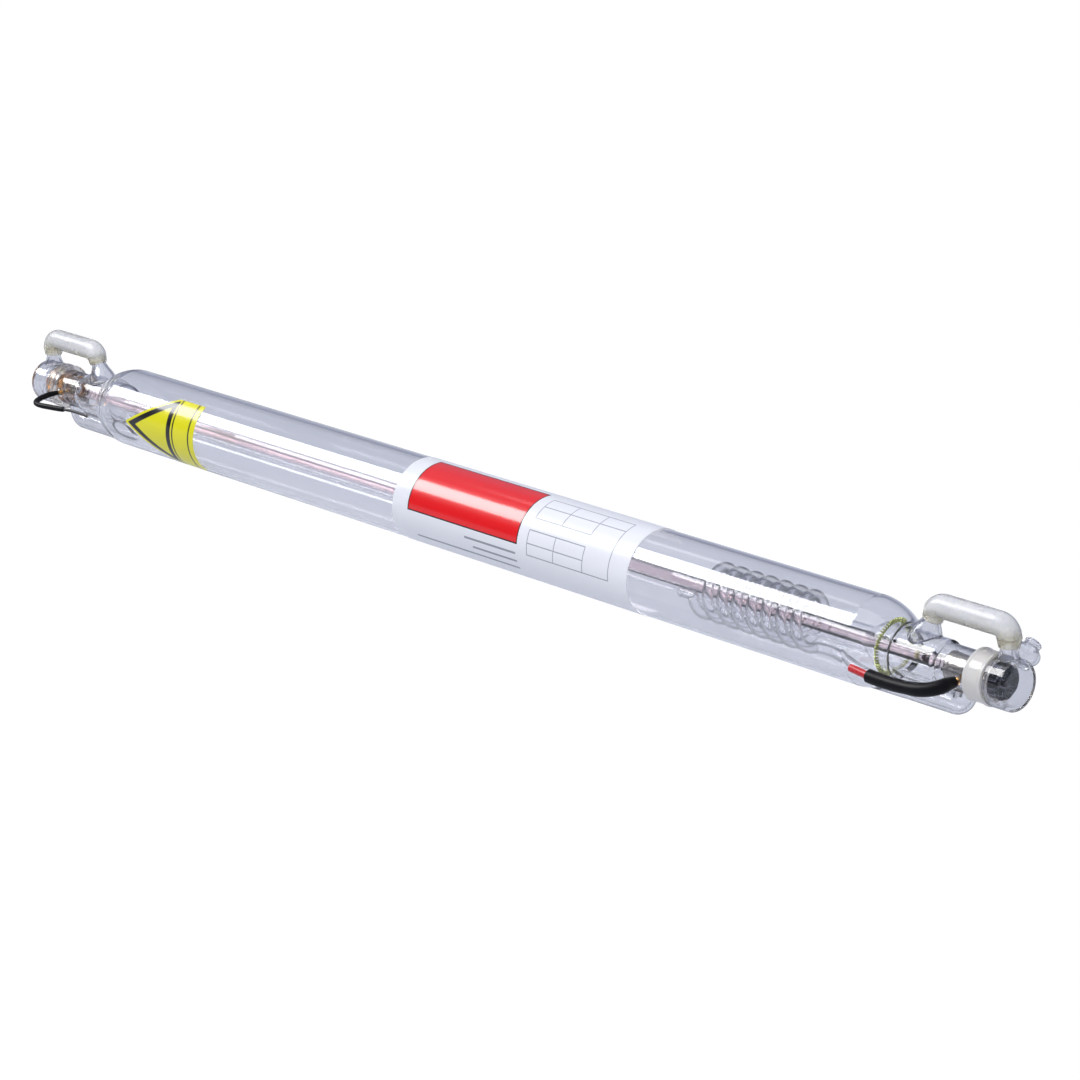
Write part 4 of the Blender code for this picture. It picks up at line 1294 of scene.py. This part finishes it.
class TUBE_OT_leads(bpy.types.Operator):
    """Lay the two cut leads in their heat-shrink sleeves"""

    bl_idname = "tube.leads"
    bl_label = "Build Leads"

    def execute(self, context):
        leads = context.scene.tube_leads
        shrink = surface_material(
            "shrunk polyolefin",
            (leads.heat_shrink, tuple(1.4 * c for c in leads.heat_shrink)),
            0.42,
            1.5 * MM,
            0.04 * MM,
            specular_ior_level=0.16,
        )
        red = surface_material(
            "red silicone rubber",
            (leads.anode_wire, tuple(0.85 * c for c in leads.anode_wire)),
            0.28,
            2 * MM,
            0.02 * MM,
        )
        black = surface_material(
            "black silicone rubber",
            (linear("#121214"), linear("#1D1D20")),
            0.32,
            2 * MM,
            0.02 * MM,
        )
        copper = surface_material(
            "tinned copper strand",
            (linear("#B5A79A"), linear("#D9CFC4")),
            0.3,
            1 * MM,
            0.01 * MM,
            metallic=1.0,
        )
        # Diameters of the wire and of the sleeve, and the sleeve's length
        sizes = (4.3 * MM, 7.8 * MM, 51 * MM)
        self.lead("anode", ANODE_POINTS, *sizes, shrink, red, copper, "red_rubber")
        sizes = (2 * MM, 3.8 * MM, 41 * MM)
        self.lead("cathode", CATHODE_POINTS, *sizes, shrink, black, copper, "black_rubber")
        return {"FINISHED"}

    def lead(self, name, points, wire, sleeve, sleeve_length, shrink, rubber, copper, slot):
        route = smooth_route(points, 1 * MM)
        bm = bmesh.new()
        bar(bm, route, [wire / 2] * len(route), 32)
        lead = piece(name + "_cut_lead", bm, rubber, slot, name + "_lead")

        out = (route[-1] - route[-2]).normalized()
        side = out.orthogonal().normalized()
        up = out.cross(side)
        bm = bmesh.new()
        strand = wire * 0.07
        for ring, count in ((0, 1), (1, 6), (2, 12)):
            for k in range(count):
                angle = 2 * math.pi * k / count
                offset = (side * math.cos(angle) + up * math.sin(angle)) * (ring * 2 * strand)
                start = route[-1] + offset
                bar(bm, [start - out * 0.5 * MM, start + out * 0.35 * MM], [strand, strand], 8)
        strands = piece(name + "_strands", bm, copper, "brass")

        cover = Vector((route[0].x, -CHAMBER_R - 1.2 * MM, route[0].z))
        kept = [cover]
        left = sleeve_length
        for a, b in zip(route, route[1:]):
            kept.append(a)
            left -= (b - a).length
            if left <= 0:
                break
        radii = []
        for i in range(len(kept)):
            share = i / (len(kept) - 1)
            swell = 0.05 * math.sin(share * 9.0) + 0.03 * math.sin(share * 23.0)
            radii.append(sleeve / 2 * (0.95 + swell * (1 - share)))
        radii[0] = radii[0] * 0.82
        radii[-1] = wire / 2 + 0.45 * MM
        bm = bmesh.new()
        tube(bm, kept, radii, (sleeve - wire) / 2 - 0.5 * MM, 40)
        sleeve_piece = piece(name + "_shrunk_sleeve", bm, shrink, "black_rubber", name + "_heat_shrink")


def film_mask(tree, x_along, arc, x_range, arc_range):
    """1 inside a rectangle of the film, given by ranges along the tube and round it."""
    halves = []
    for source, (low, high) in ((x_along, x_range), (arc, arc_range)):
        halves.append(
            add_node(
                tree,
                "ShaderNodeMath",
                {0: source, 1: (low + high) / 2, 2: (high - low) / 2},
                operation="COMPARE",
            )
        )
    return add_node(
        tree, "ShaderNodeMath", {0: (halves[0], 0), 1: (halves[1], 0)}, operation="MULTIPLY"
    )


def painted(tree, under, mask, colour):
    """Lay a printed colour over what is under it where the mask is 1."""
    inputs = {0: (mask, 0), 6: under, 7: (*colour, 1.0)}
    return add_node(tree, "ShaderNodeMix", inputs, data_type="RGBA")


def film_places(tree):
    """Where a point of the film lies: along the tube, and round it from -Y toward +Z in degrees."""
    coords = add_node(tree, "ShaderNodeTexCoord")
    parts = add_node(tree, "ShaderNodeSeparateXYZ", {0: (coords, "Object")})
    facing = add_node(tree, "ShaderNodeMath", {0: (parts, "Y"), 1: -1.0}, operation="MULTIPLY")
    angle = add_node(
        tree, "ShaderNodeMath", {0: (parts, "Z"), 1: (facing, 0)}, operation="ARCTAN2"
    )
    degrees = add_node(tree, "ShaderNodeMath", {0: (angle, 0)}, operation="DEGREES")
    return (parts, "X"), (degrees, 0)


def film_back(tree):
    """1 on the side of a film that is stuck to the glass and isn't printed."""
    across = stretched(tree, (0.0, 1.0, 1.0))
    reach = add_node(tree, "ShaderNodeVectorMath", {0: (across, "Vector")}, operation="LENGTH")
    middle = bpy.context.scene.tube_glass.envelope_diameter / 2 + 0.165 * MM
    return add_node(tree, "ShaderNodeMath", {0: (reach, "Value"), 1: middle}, operation="LESS_THAN")


def film_surface(tree, output, colour, gloss, varnish):
    """Film with the faint orange peel of its adhesive. varnish is the weight of the clear coat."""
    place = stretched(tree, (1.0, 1.0, 1.0))
    peel = add_node(
        tree, "ShaderNodeTexNoise", {"Vector": (place, "Vector"), "Scale": 1 / (5 * MM), "Detail": 2.0}
    )
    bump = add_node(
        tree, "ShaderNodeBump", {"Height": (peel, 0), "Strength": 1.0, "Distance": 0.04 * MM}
    )
    body = add_node(
        tree,
        "ShaderNodeBsdfPrincipled",
        {
            "Base Color": colour,
            "Roughness": gloss,
            "Specular IOR Level": 0.2,
            "Subsurface Weight": 0.3,
            "Subsurface Radius": (1.0, 1.0, 1.0),
            "Subsurface Scale": 0.5 * MM,
            "Coat Weight": varnish,
            "Coat Roughness": 0.12,
            "Normal": (bump, 0),
        },
    )
    to_output(tree, output, body)


INK = linear("#1A1A1C")
RULE = linear("#9FA1AA")


def white_film_material(labels):
    """Printed vinyl: a red field in a thin frame, a blank table and blank ruled lines."""
    material, tree, output = new_material("printed white vinyl")
    x, arc = film_places(tree)
    frame_mask = film_mask(tree, x, arc, (-22.3 * MM, 73.8 * MM), (3.2, 93.8))
    field_mask = film_mask(tree, x, arc, (-21.5 * MM, 73.0 * MM), (5.0, 92.0))
    colour = painted(tree, (*labels.white, 1.0), frame_mask, INK)
    colour = painted(tree, (colour, 2), field_mask, labels.red)
    left, middle, inner, right = (at * MM for at in (82, 104, 128, 149))
    thin = 0.3 * MM
    thin_turn = 0.7
    # A small table over a wider one, both blank, in one frame
    rows = ((82.0, right), (64.0, right), (44.0, inner), (27.0, inner), (9.0, inner), (-7.0, right))
    for at, end in rows:
        row = film_mask(tree, x, arc, (left, end), (at - thin_turn, at + thin_turn))
        colour = painted(tree, (colour, 2), row, RULE)
    for at, low, high in (
        (left, 44.0, 82.0),
        (middle, 44.0, 82.0),
        (inner, 44.0, 82.0),
        (left, -7.0, 27.0),
        (middle, -7.0, 27.0),
        (inner, -7.0, 27.0),
        (right, -7.0, 82.0),
    ):
        column = film_mask(tree, x, arc, (at - thin, at + thin), (low, high))
        colour = painted(tree, (colour, 2), column, RULE)
    for at, start in ((-10.0, 28 * MM), (-22.0, 34 * MM), (-34.0, -18 * MM)):
        line = film_mask(tree, x, arc, (start, 72 * MM), (at - 1.6, at + 1.6))
        colour = painted(tree, (colour, 2), line, RULE)
    colour = painted(tree, (colour, 2), film_back(tree), labels.white)
    # The red ink is varnished, and the bare vinyl has only a soft sheen
    varnish = add_node(
        tree, "ShaderNodeMapRange", {"Value": (field_mask, 0), "To Min": 0.12, "To Max": 0.85}
    )
    film_surface(tree, output, (colour, 2), 0.3, (varnish, 0))
    return material


def yellow_film_material(labels):
    """Printed polyester: a bare triangle in a thick frame, and a band between two thin lines."""
    material, tree, output = new_material("printed yellow polyester")
    x, arc = film_places(tree)
    spread = add_node(tree, "ShaderNodeMath", {0: arc}, operation="ABSOLUTE")
    half = add_node(
        tree,
        "ShaderNodeMapRange",
        {
            "Value": x,
            "From Min": -302 * MM,
            "From Max": -256 * MM,
            "To Min": 0.0,
            "To Max": 56.0,
        },
    )
    edge = add_node(
        tree, "ShaderNodeMath", {0: (half, 0), 1: (spread, 0)}, operation="SUBTRACT"
    )
    stripe = add_node(tree, "ShaderNodeMath", {0: (edge, 0), 1: 7.6, 2: 4.6}, operation="COMPARE")
    triangle = film_mask(tree, x, arc, (-302 * MM, -255 * MM), (-60.0, 60.0))
    sides = add_node(
        tree, "ShaderNodeMath", {0: (stripe, 0), 1: (triangle, 0)}, operation="MULTIPLY"
    )
    colour = painted(tree, (*labels.yellow, 1.0), sides, INK)
    for low, high, reach in ((-259.4, -255.2, 50.0), (-253.6, -252.3, 57.0), (-237.0, -235.7, 57.0)):
        line = film_mask(tree, x, arc, (low * MM, high * MM), (-reach, reach))
        colour = painted(tree, (colour, 2), line, INK)
    colour = painted(tree, (colour, 2), film_back(tree), linear("#E6E3B4"))
    film_surface(tree, output, (colour, 2), 0.28, 0.6)
    return material


def film(name, material, slot, node, start, length, half_span, centre, columns, rows):
    """A thin film wrapped on the envelope, with its rim closed."""
    radius = bpy.context.scene.tube_glass.envelope_diameter / 2 + 0.04 * MM
    thickness = 0.25 * MM
    bm = bmesh.new()
    layers = []
    for grow in (0.0, thickness):
        grid = []
        for i in range(columns + 1):
            share = i / columns
            line = []
            for k in range(rows + 1):
                turn = centre + (2 * k / rows - 1) * half_span(share)
                x = start + length * share
                place = (x, -(radius + grow) * math.cos(turn), (radius + grow) * math.sin(turn))
                line.append(bm.verts.new(place))
            grid.append(line)
        for a, b in zip(grid, grid[1:]):
            for k in range(rows):
                bm.faces.new((a[k], a[k + 1], b[k + 1], b[k]))
        layers.append(grid)
    rims = []
    for grid in layers:
        right_side = [line[-1] for line in grid[1:-1]]
        left_side = [line[0] for line in grid[-2:0:-1]]
        rims.append(grid[0] + right_side + grid[-1][::-1] + left_side)
    rim_low, rim_high = rims
    for i in range(len(rim_low)):
        j = (i + 1) % len(rim_low)
        bm.faces.new((rim_low[i], rim_low[j], rim_high[j], rim_high[i]))
    return piece(name, bm, material, slot, node)


class TUBE_OT_labels(bpy.types.Operator):
    """Wrap the two printed films on the envelope"""

    bl_idname = "tube.labels"
    bl_label = "Build Labels"

    def execute(self, context):
        labels = context.scene.tube_labels
        low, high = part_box("white_label")
        wrapped = film(
            "wrapped_white_film",
            white_film_material(labels),
            "white_film",
            "white_label",
            low.x,
            high.x - low.x,
            lambda share: math.radians(118),
            math.radians(28),
            40,
            120,
        )
        # Thin vinyl glows through, so the glass beside it stays bright
        wrapped.visible_shadow = False
        low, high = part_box("yellow_label")
        tip = 46 / 71
        film(
            "stuck_yellow_film",
            yellow_film_material(labels),
            "yellow_film",
            "yellow_label",
            low.x,
            high.x - low.x,
            lambda share: math.radians(56) * min(1.0, share / tip + 0.02),
            0.0,
            71,
            48,
        )
        return {"FINISHED"}


class TUBE_PT_panel(bpy.types.Panel):
    bl_idname = "TUBE_PT_panel"
    bl_label = "Laser Tube"
    bl_space_type = "VIEW_3D"
    bl_region_type = "UI"
    bl_category = "Laser Tube"

    def draw(self, context):
        for operator in OPERATORS:
            self.layout.operator(operator.bl_idname)


GROUPS = (
    ("tube_glass", TubeGlassSettings),
    ("tube_rubber", TubeRubberSettings),
    ("tube_leads", TubeLeadSettings),
    ("tube_labels", TubeLabelSettings),
    ("tube_stage", TubeStageSettings),
)
OPERATORS = (
    TUBE_OT_stage,
    TUBE_OT_leads,
    TUBE_OT_envelope,
    TUBE_OT_jacket,
    TUBE_OT_coil,
    TUBE_OT_spring,
    TUBE_OT_chambers,
    TUBE_OT_caps,
    TUBE_OT_silicone,
    TUBE_OT_mirrors,
    TUBE_OT_electrodes,
    TUBE_OT_labels,
)


def register():
    for name, group in GROUPS:
        bpy.utils.register_class(group)
        setattr(bpy.types.Scene, name, bpy.props.PointerProperty(type=group))
    for operator in OPERATORS:
        bpy.utils.register_class(operator)
    bpy.utils.register_class(TUBE_PT_panel)


def unregister():
    bpy.utils.unregister_class(TUBE_PT_panel)
    for operator in reversed(OPERATORS):
        bpy.utils.unregister_class(operator)
    for name, group in reversed(GROUPS):
        delattr(bpy.types.Scene, name)
        bpy.utils.unregister_class(group)


def main():
    register()
    bpy.ops.tube.stage()
    bpy.ops.tube.leads()
    bpy.ops.tube.envelope()
    bpy.ops.tube.jacket()
    bpy.ops.tube.coil()
    bpy.ops.tube.spring()
    bpy.ops.tube.chambers()
    bpy.ops.tube.caps()
    bpy.ops.tube.silicone()
    bpy.ops.tube.mirrors()
    bpy.ops.tube.electrodes()
    bpy.ops.tube.labels()


if __name__ == "__main__":
    main()
